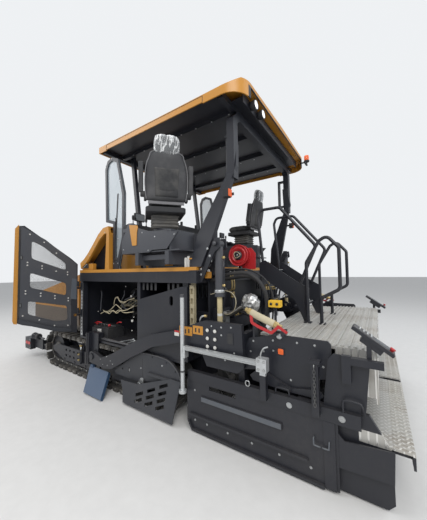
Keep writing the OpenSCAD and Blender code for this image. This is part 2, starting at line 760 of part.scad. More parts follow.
module portal() {
    top = roof_z;
    w = 100;
    cross_plate(portal_x - 45, portal_x + 45, [[-portal_y, portal_z0 - 60], [-portal_y, top - 120],
        [-portal_y + 120, top], [portal_y - 120, top], [portal_y, top - 120], [portal_y, portal_z0 - 60],
        [portal_y - w, portal_z0 - 60], [portal_y - w, top - 150], [portal_y - w - 60, top - w],
        [-portal_y + w + 60, top - w], [-portal_y + w, top - 150], [-portal_y + w, portal_z0 - 60]]);
}

module slanted_arm() {
    // a wide plate that leans in from the platform's corner to the portal
    h = portal_z0 + 150 - deck_z;
    difference() {
        translate([0, deck_y - 20, deck_z]) rotate([arm_lean, 0, 0])
            side_plate(-60, 0, [[arm_foot_x - 75, 0], [arm_foot_x + 75, 0], [arm_foot_x + 20, 380],
                [portal_x + 60, h - 150], [portal_x + 52, h + 250], [portal_x - 36, h + 250],
                [portal_x - 60, h - 40], [arm_foot_x - 180, 300]]);
        bx(arm_foot_x - 200, arm_foot_x + 200, deck_y - 120, deck_y + 20, deck_z - 80, deck_z);
    }
}

module windscreens() {
    color("#3a3c40") both() {
        y = deck_y - 70;
        difference() {
            side_plate(y - 18, y + 18, [[150, deck_z + 40], [290, deck_z + 40], [290, hood_top + 30], [470, hood_top + 80], [500, 3250],
                [440, 3370], [330, 3400], [180, 3340], [30, 2800], [30, 2150]]);
            side_plate(y - 30, y + 30, [[190, deck_z + 110], [245, deck_z + 110], [245, hood_top + 65], [425, hood_top + 115], [452, 3230],
                [415, 3320], [330, 3348], [215, 3300], [78, 2790], [78, 2170]]);
        }
        side_plate(y - 4, y + 4, [[190, deck_z + 110], [245, deck_z + 110], [245, hood_top + 65], [425, hood_top + 115], [452, 3230],
            [415, 3320], [330, 3348], [215, 3300], [78, 2790], [78, 2170]]);
        bx(150, 290, y - 30, y + 18, deck_z, deck_z + 42);
    }
}

module lamps() {
    color("#f06a24") {
        both() {
            // marker lamp on its stalk, off the slanted arm
            pin_y(-1685, 2481, 26, 1124, 1240);
            bx(-1700, -1560, stalk_y, 1124, 2466, 2496);
        }
        // beacon on the right rear corner
        pin_z(roof_x0 - 60, -roof_y + 110, 42, roof_z + 130, roof_z + 230);
        pin_z(roof_x0 - 60, -roof_y + 110, 50, roof_z + 108, roof_z + 130);
        pin_z(roof_x0 - 60, -roof_y + 110, 12, roof_z + 60, roof_z + 108);
        bx(roof_x0 - 75, roof_x0, -roof_y + 230, -roof_y + 260, roof_z + 40, roof_z + 62);
        bx(roof_x0 - 75, roof_x0 - 45, -roof_y + 95, -roof_y + 230, roof_z + 40, roof_z + 62);
        // two round work lamps under the rear edge
        for (y = [850, 640]) {
            pin_x(y, roof_z + 50, 56, roof_x0 + roof_t + 8, roof_x0 + 96);
        }
    }
}

// Rear equipment of the tractor

module hydraulic_rack() {
    color("#26282c") {
        both() {
            // frame plates behind the platform
            bx(deck_x0 - 20, deck_x0, 470, 1060, 900, deck_z - 15);
            bx(deck_x0 - 20, -1150, 470, 500, 1040, 1180);
            bx(deck_x0 - 20, -1150, 1030, 1060, 1040, 1180);
            bx(deck_x0 - 180, deck_x0 - 20, 520, 780, 1080, 1200);
            bx(deck_x0 - 150, deck_x0 - 20, 820, 1000, 1010, 1220);
            for (i = [0 : 4]) pin_z(deck_x0 - 60 - i * 22, 560 + i * 46, 16, 1200, 1330 + 12 * i);
            for (i = [0 : 2])
                bent_tube([[deck_x0 - 60 - 40 * i, 1215], [deck_x0 - 110 - 40 * i, 1400 + 20 * i],
                    [deck_x0 - 60, 1500 + 40 * i], [deck_x0 - 15, 1500 + 40 * i]], 15, 40, 850 + 60 * i);
        }
        // reel bracket
        bx(-1580, deck_x0 - 20, 690, 706, slab_z - 40, slab_z + 20);
        bx(-1600, -1520, 690, 706, slab_z - 40, 1900);
        pin_y(-1560, 1840, 18, 706, 800);
    }
}

module hose_reel() {
    color("#b5222b") difference() {
        union() {
            pin_y(-1560, 1840, 128, 716, 726);
            pin_y(-1560, 1840, 128, 776, 786);
            pin_y(-1560, 1840, 70, 726, 776);
        }
        pin_y(-1560, 1840, 18 + run, 700, 790);
        for (i = [0 : 4]) translate([-1560, 750, 1840]) rotate([0, i * 72, 0])
            translate([0, 0, 98]) rotate([90, 0, 0]) cylinder(h = 100, r = 16, center = true);
    }
}

// Hopper, conveyor and push rollers

module conveyor() {
    color("#5d5f63") {
        bx(hull_x0, wing_x1, -tunnel_y + gap, tunnel_y - gap, floor_z - 30, floor_z - 10);
        both() {
            bx(hull_x0, wing_x1 - 20, 30, 60, floor_z - 10, floor_z + 20);
            bx(hull_x0, wing_x1 - 20, tunnel_y - 60, tunnel_y - 30, floor_z - 10, floor_z + 20);
            for (x = [hull_x0 + 60 : 240 : wing_x1 - 60]) bx(x, x + 40, 60, tunnel_y - 60, floor_z - 10, floor_z + 14);
        }
        bx(hull_x0, wing_x1 - 20, -30, 30, floor_z - 10, floor_z + 30);
    }
}

module front_frame() {
    color("#3b3d42") {
        both() {
            bx(bulkhead_x + panel_t, wing_x1, tunnel_y - 120, tunnel_y, hull_z0 + 60, floor_z - 30);
            // cross beam end ahead of the track, corner box and its link
            bx(2430, 2560, hull_y - 500, 1240, 190, 270);
            bx(2480, 2860, 1240, 1262, 190, 380);
            bx(2860, 3120, 1236, 1330, 150, 372);
            bx(2860, 2900, tunnel_y, 1236, 190, 270);
            // push damper with its spring and rod
            pin_x(1296, 430, 34, 2560, 2800);
            bx(2760, 2800, 1262, 1296, 372, 420);
            bx(2600, 2630, 1262, 1296, 372, 420);
            for (i = [0 : 5]) pin_x(1296, 430, 46, 2600 + i * 26, 2612 + i * 26);
            pin_x(1296, 430, 12, 2330, 2560);
        }
        bx(2430, 2560, -tunnel_y + 120, tunnel_y - 120, 190, 270);
        bx(wing_x1, wing_x1 + 16, 20 - tunnel_y, tunnel_y - 20, hull_z0 + 60, wing_hinge_z + 60);
        // pin and ears of the swinging roller beam
        for (z = [push_z - 130, push_z + 30]) bx(wing_x1 + 16, push_pin_x + 30, -60, 60, z, z + 24);
        bx(wing_x1, wing_x1 + 16, -60, 60, wing_hinge_z + 60, push_z + 54);
        pin_z(push_pin_x, 0, 24, push_z - 130, push_z + 54);
        // rear wall of the hopper under the hood
        bx(bulkhead_x + panel_t, bulkhead_x + panel_t + 16, -1100, 1100, tunnel_z - 10, 1500);
        both() {
            bx(bulkhead_x + panel_t, bulkhead_x + panel_t + 16, tunnel_y + 2, track_y0 - 15, beam_z - 200, beam_z - 20);
            bx(bulkhead_x + panel_t, bulkhead_x + panel_t + 16, tunnel_y + 2, 1100, beam_z - 20, tunnel_z - 10);
        }
    }
}

module push_beam() {
    color("#c8921f") difference() {
        union() {
            bx(push_pin_x + 40, push_pin_x + 66, -850, 850, push_z - 50, push_z + 50);
            translate([push_pin_x, 0, push_z - 100]) cylinder(h = 124, r = 33);
            bx(push_pin_x, push_pin_x + 50, -33, 33, push_z - 100, push_z + 24);
            both() for (y = [190, 790])
                side_plate(y - 12, y + 12, [[push_pin_x + 50, push_z - 50], [push_x + 30, push_z - 34],
                    [push_x + 42, push_z], [push_x + 30, push_z + 34], [push_pin_x + 50, push_z + 50]]);
        }
        pin_z(push_pin_x, 0, 24 + run, push_z - 140, push_z + 60);
        both() for (y = [190, 790]) pin_y(push_x, push_z, 18 + run, y - 20, y + 20);
    }
}

module push_roller() {
    color("#6b6d70") {
        pin_y(push_x, push_z, push_r, 212, 768);
        pin_y(push_x, push_z, 18, 170, 810);
    }
}

module push_roller_left() {
    push_roller();
}

module push_roller_right() {
    mirror([0, 1, 0]) push_roller();
}

module hopper_wing() {
    y = wing_y;
    hy = wing_hinge_y;
    hz = wing_hinge_z;
    color("#e0a526") difference() {
        union() {
            // sloping floor and upright wall in one bent section, its top falling to the front
            intersection() {
                cross_plate(wing_x0, wing_x1, [[hy + 30, hz - 2], [y - 90, hz + 175], [y, hz + 300], [y, wing_top0],
                    [y - wing_t, wing_top0], [y - wing_t, hz + 308], [y - 104, hz + 192], [hy + 30, hz + 20]]);
                side_plate(0, y + 50, [[wing_x0, 0], [wing_x1, 0], [wing_x1, wing_top1], [wing_x0, wing_top0]]);
            }
            // rear panel, cut back so that the two wings fold past each other
            cross_plate(wing_x0, wing_x0 + wing_t, [[hy + 40, hz + 10], [y - 90, hz + 180], [y - 4, hz + 304],
                [y - 4, wing_top0 - 10], [hy + 330, wing_top0 - 60], [hy + 30, hz + 60]]);
            // front lip and outside ribs
            cross_plate(wing_x1 - wing_t, wing_x1, [[hy + 40, hz + 10], [y - 90, hz + 180], [y - 4, hz + 304],
                [y - 4, hz + 480], [y - 110, hz + 300], [hy + 30, hz + 60]]);
            for (x = [wing_x0 + 60, 1900, wing_x1 - 100])
                pin_x(hy, hz, 24, x - 22, x + 22);
            for (x = [wing_x0 + 60, 1900, wing_x1 - 100]) bx(x - 22, x + 22, hy + 6, hy + 60, hz + 4, hz + 20);
        }
        pin_x(hy, hz, 14 + run, wing_x0 - 10, wing_x1 + 10);
    }
}

module hopper_wing_left() {
    hopper_wing();
}

module hopper_wing_right() {
    mirror([0, 1, 0]) hopper_wing();
}

// Engine doors

function door_out() = [[bulkhead_x - 12, 700], [bulkhead_x - 12, 1800], [bulkhead_x - 120, 1900],
    [bulkhead_x - door_l + 60, 2350], [bulkhead_x - door_l, 2340], [bulkhead_x - door_l, 960],
    [bulkhead_x - door_l + 60, 930]];

module engine_door() {
    x1 = bulkhead_x - 12;
    x0 = bulkhead_x - door_l;
    y0 = hinge_y - 16;
    color("#37393e") difference() {
        union() {
            side_plate(y0, y0 + door_t, door_out());
            for (z = [1010, door_hinge_z]) {
                pin_z(bulkhead_x, hinge_y, 17, z, z + 80);
                bx(x1 - 40, bulkhead_x, hinge_y - 8, hinge_y + 8, z, z + 80);
            }
            for (z = [1150, 1900]) bx(x0 + 10, x0 + 60, y0 + door_t, y0 + door_t + 16, z, z + 60);
        }
        // three meshed windows between the cross bars, framed inside a folded rim
        side_plate(y0 - 5, y0 + door_t + 5, [[x0 + 90, 1010], [x1 - 90, 830], [x1 - 90, 1150], [x0 + 90, 1280]]);
        side_plate(y0 - 5, y0 + door_t + 5, [[x0 + 90, 1350], [x1 - 90, 1220], [x1 - 90, 1490], [x0 + 90, 1700]]);
        side_plate(y0 - 5, y0 + door_t + 5, [[x0 + 90, 1780], [x1 - 90, 1565], [x1 - 90, 1760], [x0 + 90, 2250]]);
        side_plate(y0 - 5, y0 + door_t - 6, [[x0 + 24, 1000], [x0 + 60, 990], [x0 + 60, 2290], [x0 + 24, 2290]]);
        for (z = [1010, door_hinge_z]) {
            pin_z(bulkhead_x, hinge_y, 9 + run, z - 2, z + 90);
            bx(bulkhead_x - 62, bulkhead_x + 22, y0 - 5, hinge_y + 40, z - 46, z - 2);
        }
    }
}

module engine_door_left() {
    translate([bulkhead_x, hinge_y, 0]) rotate([0, 0, -door_open]) translate([-bulkhead_x, -hinge_y, 0])
        engine_door();
}

module engine_door_right() {
    mirror([0, 1, 0]) engine_door_left();
}

// Augers

module auger() {
    z = sole_z + auger_r + 60;
    pitch = 250;
    color("#4a4c50") {
        difference() {
            pin_y(auger_x, z, 48, 66, 1180);
            pin_y(auger_x, z, 30 + run, 60, 90);
        }
        // flights as tilted blades, two to a turn
        for (i = [0 : 7]) translate([auger_x, 150 + i * 130, z]) rotate([0, i * 180, 0])
            rotate([0, 0, 18]) rotate([90, 0, 0]) difference() {
                cylinder(h = 14, r = auger_r - 20, center = true);
                translate([-auger_r, -auger_r, -20]) cube([auger_r, 2 * auger_r, 40]);
            }
    }
}

module auger_left() {
    auger();
}

module auger_right() {
    mirror([0, 1, 0]) auger();
}

// Tow arms and lift cylinders

module tow_arm() {
    y0 = arm_y;
    color("#37393e") {
        difference() {
            union() {
                side_plate(y0, y0 + arm_t, [[680, 330], [680, 470], [640, 495], [520, 480], [380, 445], [140, 535],
                    [-56, 634], [-381, 796], [-646, 901], [-1036, 996], [-1200, 1060], [-1450, 1150], [-1880, 1150],
                    [-1900, 760], [-1830, 700], [-1480, 700], [-1400, 860], [-1110, 880], [-680, 760],
                    [-270, 560], [130, 335], [300, 310]]);
                // plates down to the screed frame
                bx(-1880, -1800, screed_y + 20, y0, 740, 1060);
                // cheeks for the lift cylinder's eye
                for (s = [-1, 1]) side_plate(lift_y + s * 43 - 9, lift_y + s * 43 + 9,
                    [[lift_x - 90, 900], [lift_x + 90, 900], [lift_x + 60, lift_eye_z + 20],
                    [lift_x + 20, lift_eye_z + 56], [lift_x - 20, lift_eye_z + 56], [lift_x - 60, lift_eye_z + 20]]);
                bx(lift_x - 90, lift_x + 90, lift_y - 52, y0, 900, 930);
            }
            pin_y(lift_x, lift_eye_z, 28, lift_y - 60, lift_y + 60);
            pin_y(tow_x, tow_z, tow_r + run, y0 - 5, y0 + arm_t + 5);
            // rectangular window in the rear plate
            bx(-1790, -1730, y0 - 5, y0 + arm_t + 5, 960, 1060);
        }
        // six bolt heads
        for (x = [-1500, -1590], z = [900, 980, 1060]) pin_y(x, z, 15, y0 + arm_t, y0 + arm_t + 9);
    }
}

module tow_arm_left() {
    tow_arm();
}

module tow_arm_right() {
    mirror([0, 1, 0]) tow_arm();
}

module lift_barrel() {
    bore_z = lift_eye_z + 410;
    color("#5b5e63") difference() {
        union() {
            pin_z(lift_x, lift_y, barrel_r, lift_eye_z + 350, lift_z - 30);
            pin_z(lift_x, lift_y, barrel_r + 6, lift_eye_z + 350, lift_eye_z + 390);
            pin_y(lift_x, lift_z, 40, lift_y - 50, lift_y + 50);
        }
        pin_y(lift_x, lift_z, 24 + run, lift_y - 60, lift_y + 60);
        pin_z(lift_x, lift_y, rod_r + run, lift_eye_z + 340, bore_z);
        pin_z(lift_x, lift_y, rod_r + 6, bore_z - 1, lift_z - 130);
    }
}

module lift_rod() {
    color("#c9c4b0") {
        pin_z(lift_x, lift_y, rod_r, lift_eye_z + 30, lift_z - 440);
        pin_y(lift_x, lift_eye_z, 42, lift_y - 26, lift_y + 26);
        // pin, with play in the arm's cheeks
        pin_y(lift_x, lift_eye_z, 12, lift_y - 54, lift_y + 54);
    }
}

module lift_barrel_left() {
    lift_barrel();
}

module lift_barrel_right() {
    mirror([0, 1, 0]) lift_barrel();
}

module lift_rod_left() {
    lift_rod();
}

module lift_rod_right() {
    mirror([0, 1, 0]) lift_rod();
}

// Screed

module screed_frame() {
    color("#383a3f") {
        // main box with its tamper nose
        side_plate(-screed_y, screed_y, [[screed_x0, sole_z], [screed_x1 - 40, sole_z], [screed_x1, sole_z + 60],
            [screed_x1, 240], [screed_x1 - 90, 330], [screed_x0, 330]]);
        difference() {
            bx(-2290, -1840, -1100, 1100, 330, 620);
            bx(-2240, -1890, -1000, 1000, 360, 621);
        }
        bx(screed_x0, screed_x0 + 22, -screed_y, screed_y, 330, walk_z - 22);
        both() {
            // side plate with its raised nose
            side_plate(screed_y, screed_y + 20, [[-1790, 790], [-1915, 1020], [-2150, 1075], [-2180, 1110],
                [-2240, 1110], [-2270, 1085], [-2600, 1085], [-2620, 1060], [-2620, 800], [-2480, 760],
                [-2440, 640], [-2280, 620], [-2150, 660], [-2060, 760], [-1860, 720]]);
            // lower link arm under it
            side_plate(screed_y + 20, screed_y + 44, [[-1930, 690], [-1990, 745], [-2080, 745], [-2300, 660],
                [-2520, 700], [-2560, 660], [-2530, 628], [-2240, 628], [-1960, 650]]);
            bx(screed_x0, screed_x0 + 60, screed_y - 60, screed_y, 330, walk_z - 22);
            bx(-1860, -1800, screed_y - 200, screed_y + 20, 330, 1040);
            bx(-1860, -1800, 900, screed_y - 200, 330, 700);
            // guide block of the extension
            difference() {
                bx(-2780, screed_x0, 1110, 1180, 452, 640);
                for (x = [-2470, -2690]) pin_y(x, 540, guide_r + run, 1100, 1190);
            }
            bx(-2780, -2740, 1110, 1180, 640, walk_z - 22);
            // orange reflector
            bx(-2250, -2190, screed_y + 20, screed_y + 26, 915, 975);
        }
    }
}

module walkway() {
    x1 = screed_x0 + 22;
    color("#b9bbbd") {
        bx(walk_x0, x1, -1200, 1200, walk_z - 22, walk_z);
        bx(x1, -1960, -1100, 1100, walk_z - 22, walk_z);
        bx(walk_x0, walk_x0 + 14, -1200, 1200, 660, walk_z - 22);
        both() bx(walk_x0 + 14, -2640, 1186, 1200, 700, walk_z - 22);
        // raised tread ribs
        for (i = [0 : 4]) bx(walk_x0 + 30 + i * 92, walk_x0 + 62 + i * 92, -1180, 1180, walk_z, walk_z + 8);
    }
}

module stairs() {
    z0 = walk_z + 5;
    color("#3a3c41") {
        both() {
            // side plate and lower brace of the folding stair
            side_plate(stair_y, stair_y + 12, [[-1640, 1760], [-1640, 1600], [-1800, 1480], [-2090, 1290],
                [-2200, walk_z], [-2260, walk_z], [-2260, 1440], [-2100, 1530], [-1720, 1790]]);
            // stair rail, down from the platform
            bent_tube([[-1690, 1640], [-1620, 2380], [-1660, 2470], [-1920, 2470], [-2350, 1940],
                [-2150, 1480]], rail_r, 70, stair_y - 19);
            // hoop that stands on the walkway
            bent_tube([[-2250, z0], [-2250, 1740], [-2400, 1990], [-2480, 2040], [-2600, 1900], [-2600, 1440],
                [-2400, 1330], [-2400, z0]], rail_r, 60, stair_y + 55);
            for (x = [-2250, -2400]) bx(x - 40, x + 40, stair_y + 15, stair_y + 95, walk_z, z0 + 8);
        }
        for (i = [0 : 4]) bx(-1760 - 105 * i, -1660 - 105 * i, -stair_y, stair_y, 1640 - 110 * i, 1662 - 110 * i);
    }
}

module extension() {
    y1 = 1295;
    color("#35373c") {
        side_plate(45, y1 - 30, [[screed_x0 - 35, sole_z], [-2930, sole_z], [-2950, sole_z + 30],
            [-2950, 300], [-2860, ext_z], [screed_x0 - 60, ext_z], [screed_x0 - 35, 300]]);
        side_plate(y1 - 30, y1, [[screed_x0 - 30, sole_z], [-2950, sole_z], [-2990, 60], [-2990, 400],
            [-2860, gate_z], [screed_x0 - 30, gate_z]]);
        for (x = [-2470, -2690]) pin_y(x, 540, guide_r, 62, y1 - 30);
        // lower walkway
        bx(lower_x0, -2800, 45, y1 - 5, ext_z, ext_z + 14);
        bx(lower_x0, lower_x0 + 14, 45, y1 - 5, 330, ext_z);
        bx(lower_x0 + 14, -2950, 60, 80, 360, ext_z);
        bx(lower_x0 + 14, -2950, 1200, 1220, 360, ext_z);
        // corner plate with the post and holder of the remote box
        side_plate(y1, y1 + 14, [[-2560, gate_z + gap], [-2600, 960], [-2640, 1010], [-2880, 1010],
            [-2840, gate_z + gap]]);
        side_plate(y1 - 14, y1, [[-2600, 560], [-2600, 900], [-2820, 900], [-2820, 560]]);
        bx(-2760, -2700, y1 + 14, y1 + 54, 820, 1020);
        bx(-2960, -2760, y1 + 14, y1 + 54, 960, 1010);
        translate([-2890, y1 - 40, 1130]) rotate([0, -35, 0]) {
            bx(-150, 150, -60, 60, 0, 22);
            bx(-90, 60, -50, 50, -40, 0);
        }
        bx(-2890, -2860, y1 - 20, y1 + 14, 1000, 1100);
    }
}

module end_gate() {
    y0 = 1295;
    yo = gate_y;
    color("#2f3136") {
        // upper beam, plate and foot
        difference() {
            bx(gate_x0, gate_x1 - 15, y0 + gap, yo + 8, gate_z - 100, gate_z);
            bx(gate_x0 - 1, gate_x1, y0 + 8, yo, gate_z - 92, gate_z - 8);
        }
        difference() {
            side_plate(yo - 16, yo, [[gate_x1, gate_z - 100], [gate_x1, 90], [gate_x1 - 60, sole_z + 8],
                [-2540, sole_z + 8], [-2660, sole_z + 8], [-2660, gate_z - 100]]);
            bx(-1800, -1500, yo - 20, yo + 5, gate_z - 150, gate_z - 110);
        }
        side_plate(yo - 30, yo + 22, [[gate_x1 - 20, 100], [gate_x1 - 70, sole_z], [-2560, sole_z],
            [-2560, sole_z + 22], [gate_x1 - 80, sole_z + 22], [gate_x1 - 36, 104]]);
        bx(-2440, gate_x1 - 40, yo, yo + 22, 160, 184);
        bx(-2240, gate_x1 - 190, yo, yo + 14, 330, 384);
        bx(-2640, -2560, yo - 40, yo + 10, sole_z + 8, gate_z - 100);
        side_plate(yo - 16, yo - 4, [[-2660, 200], [-2990, 220], [-3000, 430], [-2700, 400], [-2660, 440]]);
        // posts on the beam, the galvanised bar, its clamp and the marker pole
        for (x = [-2100, -2520]) bx(x - 26, x + 26, yo + 8, yo + 60, gate_z - 60, gate_z + (x < -2300 ? 330 : 190));
        bx(-2560, -2480, yo, yo + 68, gate_z + 330, gate_z + 350);
        bx(-2150, -2060, yo + 30, yo + 100, gate_z + 190, gate_z + 300);
        bx(-2060, -1240, yo + 50, yo + 90, gate_z + 232, gate_z + 272);
        bx(-1260, -1240, yo + 30, yo + 90, gate_z + 150, gate_z + 232);
        pin_z(-1205, yo + 60, 22, 420, 1400);
        bx(-1240, -1205, yo + 40, yo + 80, gate_z + 160, gate_z + 200);
        pin_z(-1205, yo + 60, 40, 390, 420);
    }
}

module extension_left() {
    extension();
}

module extension_right() {
    mirror([0, 1, 0]) extension();
}

module end_gate_left() {
    end_gate();
}

module end_gate_right() {
    mirror([0, 1, 0]) end_gate();
}

chassis();
undercarriage();
track_left();
track_right();
track_covers();
hood();
platform();
deck_edge();
engine_block();
battery_box();
conveyor();
canopy_roof();
canopy_frame();
windscreens();
control_console();
hydraulic_rack();
hose_reel();
front_frame();
lamps();
seat_console_left();
seat_console_right();
seat_left();
seat_right();
hopper_wing_left();
hopper_wing_right();
engine_door_left();
engine_door_right();
push_beam();
push_roller_left();
push_roller_right();
auger_left();
auger_right();
tow_arm_left();
tow_arm_right();
screed_frame();
walkway();
stairs();
extension_left();
extension_right();
end_gate_left();
end_gate_right();
lift_barrel_left();
lift_barrel_right();
lift_rod_left();
lift_rod_right();
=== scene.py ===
"""Looks of a tracked asphalt paver: paints, rubber, tread plate, seats, hoses, lamps and small parts.

Metres. +X to the hopper, +Y the machine's left side, +Z up, ground at Z = 0.
"""
import math

import bmesh
import bpy
import numpy as np
from mathutils import Matrix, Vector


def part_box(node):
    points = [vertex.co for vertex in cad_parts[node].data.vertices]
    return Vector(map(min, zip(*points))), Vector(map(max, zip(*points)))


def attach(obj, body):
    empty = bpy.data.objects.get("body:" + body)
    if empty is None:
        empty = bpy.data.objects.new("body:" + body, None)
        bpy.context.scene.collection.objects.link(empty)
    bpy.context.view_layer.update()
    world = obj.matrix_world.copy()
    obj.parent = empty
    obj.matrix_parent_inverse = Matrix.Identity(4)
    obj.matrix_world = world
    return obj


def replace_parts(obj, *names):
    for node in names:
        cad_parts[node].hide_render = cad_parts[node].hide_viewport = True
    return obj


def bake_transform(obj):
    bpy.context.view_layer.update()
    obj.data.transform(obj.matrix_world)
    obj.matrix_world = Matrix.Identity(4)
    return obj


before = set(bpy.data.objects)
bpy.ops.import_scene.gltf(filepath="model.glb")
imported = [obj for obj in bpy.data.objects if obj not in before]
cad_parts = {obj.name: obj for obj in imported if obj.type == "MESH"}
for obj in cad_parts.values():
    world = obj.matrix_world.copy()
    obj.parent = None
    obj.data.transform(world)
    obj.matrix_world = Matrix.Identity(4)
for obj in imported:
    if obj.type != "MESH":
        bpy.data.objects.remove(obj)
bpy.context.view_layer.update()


# Finishes

class Finish:
    """A Principled material with short calls for its nodes; all patterns read Object coordinates."""

    def __init__(self, name):
        """An empty material with its output, shader and place joined up."""
        self.mat = bpy.data.materials.new(name)
        self.mat.use_nodes = True
        self.tree = self.mat.node_tree
        self.tree.nodes.clear()
        out = self.node("ShaderNodeOutputMaterial")
        self.shader = self.node("ShaderNodeBsdfPrincipled")
        self.join(self.shader.outputs["BSDF"], out.inputs["Surface"])
        self.place = self.node("ShaderNodeTexCoord").outputs["Object"]
        xyz = self.node("ShaderNodeSeparateXYZ")
        self.join(self.place, xyz.inputs[0])
        self.x, self.y, self.z = xyz.outputs

    def node(self, kind, **settings):
        n = self.tree.nodes.new(kind)
        for key, value in settings.items():
            setattr(n, key, value)
        return n

    def join(self, a, b):
        self.tree.links.new(a, b)

    def put(self, value, socket):
        if isinstance(value, bpy.types.NodeSocket):
            self.join(value, socket)
        elif isinstance(value, (tuple, list)):
            socket.default_value = (*value[:3], 1.0)
        else:
            socket.default_value = value

    def sum(self, op, a, b=0.0, clamp=False):
        """Any of the Math node's operations on a and b."""
        n = self.node("ShaderNodeMath", operation=op, use_clamp=clamp)
        self.put(a, n.inputs[0])
        self.put(b, n.inputs[1])
        return n.outputs[0]

    def step(self, value, low, high, out_low=0.0, out_high=1.0):
        """A smooth step from out_low below low to out_high above high."""
        n = self.node("ShaderNodeMapRange", interpolation_type="SMOOTHSTEP")
        self.put(value, n.inputs["Value"])
        for key, v in (("From Min", low), ("From Max", high), ("To Min", out_low), ("To Max", out_high)):
            n.inputs[key].default_value = v
        return n.outputs[0]

    def mix(self, factor, a, b):
        """Colour a where the factor is 0, b where it is 1."""
        n = self.node("ShaderNodeMix", data_type="RGBA")
        self.put(factor, n.inputs[0])
        self.put(a, n.inputs[6])
        self.put(b, n.inputs[7])
        return n.outputs[2]

    def blend(self, factor, a, b):
        """Number a where the factor is 0, b where it is 1."""
        n = self.node("ShaderNodeMix", data_type="FLOAT")
        self.put(factor, n.inputs[0])
        self.put(a, n.inputs[2])
        self.put(b, n.inputs[3])
        return n.outputs[0]

    def noise(self, scale, detail=4.0, rough=0.55, stretch=None):
        """Noise from 0 to 1; stretch is its scale along X, Y and Z."""
        n = self.node("ShaderNodeTexNoise")
        at = self.place
        if stretch:
            m = self.node("ShaderNodeMapping")
            self.join(at, m.inputs[0])
            m.inputs["Scale"].default_value = stretch
            at = m.outputs[0]
        self.join(at, n.inputs["Vector"])
        n.inputs["Scale"].default_value = scale
        n.inputs["Detail"].default_value = detail
        n.inputs["Roughness"].default_value = rough
        return n.outputs["Fac"]

    def upward(self):
        """How far the surface faces up: 1 on top, 0 on a wall, -1 below."""
        g = self.node("ShaderNodeNewGeometry")
        s = self.node("ShaderNodeSeparateXYZ")
        self.join(g.outputs["Normal"], s.inputs[0])
        return s.outputs[2]

    def inside(self, x, y, z, soft=0.0015):
        """1 inside the box, 0 outside; y is taken on both sides of the machine."""
        yy = self.sum("ABSOLUTE", self.y)
        out = None
        for v, rng in ((self.x, x), (yy, y), (self.z, z)):
            if rng is None:
                continue
            low = self.step(v, rng[0] - soft, rng[0])
            high = self.step(v, rng[1], rng[1] + soft, 1.0, 0.0)
            both = self.sum("MULTIPLY", low, high)
            out = both if out is None else self.sum("MULTIPLY", out, both)
        return out

    def either(self, *masks):
        out = masks[0]
        for m in masks[1:]:
            out = self.sum("MAXIMUM", out, m)
        return out

    def use(self, look, bump, distance=0.002):
        """The look, which is colour, roughness, metal and height, joined to the shader; a height of None is
        flat."""
        colour, rough, metal, height = look
        self.put(colour, self.shader.inputs["Base Color"])
        self.put(rough, self.shader.inputs["Roughness"])
        self.put(metal, self.shader.inputs["Metallic"])
        if height is not None:
            b = self.node("ShaderNodeBump")
            b.inputs["Strength"].default_value = bump
            b.inputs["Distance"].default_value = distance
            self.put(height, b.inputs["Height"])
            self.join(b.outputs[0], self.shader.inputs["Normal"])
        return self.mat

    def over(self, mask, top, base):
        """The look top where mask is 1, base elsewhere."""
        return (self.mix(mask, base[0], top[0]), self.blend(mask, base[1], top[1]),
            self.blend(mask, base[2], top[2]), self.blend(mask, base[3], top[3]))


DUST = (0.26, 0.235, 0.20)


def paint_look(f, colour, rough=0.38, dust=0.35, low=0.25):
    """Sprayed paint: slow change of tone, road dust that gathers low down and on what faces up, fine orange
    peel."""
    cloud = f.step(f.noise(1.7, 7.0, 0.62), 0.42, 0.72)
    fine = f.noise(34.0, 5.0, 0.65)
    streak = f.step(f.noise(5.0, 6.0, 0.7, (3.0, 3.0, 0.5)), 0.5, 0.75)
    near_ground = f.step(f.z, 0.1, 1.1, low, 0.0)
    flat = f.step(f.upward(), 0.4, 0.95, 0.0, dust)
    film = f.sum("ADD", f.sum("MULTIPLY", cloud, dust * 0.6), f.sum("MULTIPLY", streak, dust * 0.35))
    film = f.sum("ADD", f.sum("ADD", film, near_ground), flat)
    film = f.sum("MULTIPLY", film, f.step(fine, 0.3, 0.75, 0.55, 1.0), clamp=True)
    pale = tuple(min(1.0, c * 1.14) for c in colour)
    tone = f.mix(f.noise(0.8, 3.0), tuple(c * 0.85 for c in colour), pale)
    peel = f.sum("MULTIPLY", f.noise(260.0, 2.0), 0.5)
    return (f.mix(f.sum("MULTIPLY", film, 0.55), tone, DUST), f.blend(film, rough, 0.82), 0.0,
        f.sum("ADD", peel, f.sum("MULTIPLY", fine, 0.3)))


def steel_look(f, colour, rough=0.35, scratch=0.5, metal=1.0):
    """Bare or plated steel: brushed grain along X, blotches and a little rust-brown dirt."""
    grain = f.noise(60.0, 4.0, 0.7, (0.25, 3.0, 3.0))
    blot = f.step(f.noise(7.0, 6.0, 0.6), 0.45, 0.7)
    tone = f.mix(grain, tuple(c * 0.72 for c in colour), tuple(min(1.0, c * 1.15) for c in colour))
    tone = f.mix(f.sum("MULTIPLY", blot, scratch * 0.5), tone, (0.17, 0.135, 0.10))
    return (tone, f.blend(blot, rough, min(0.9, rough + 0.3)), metal, grain)


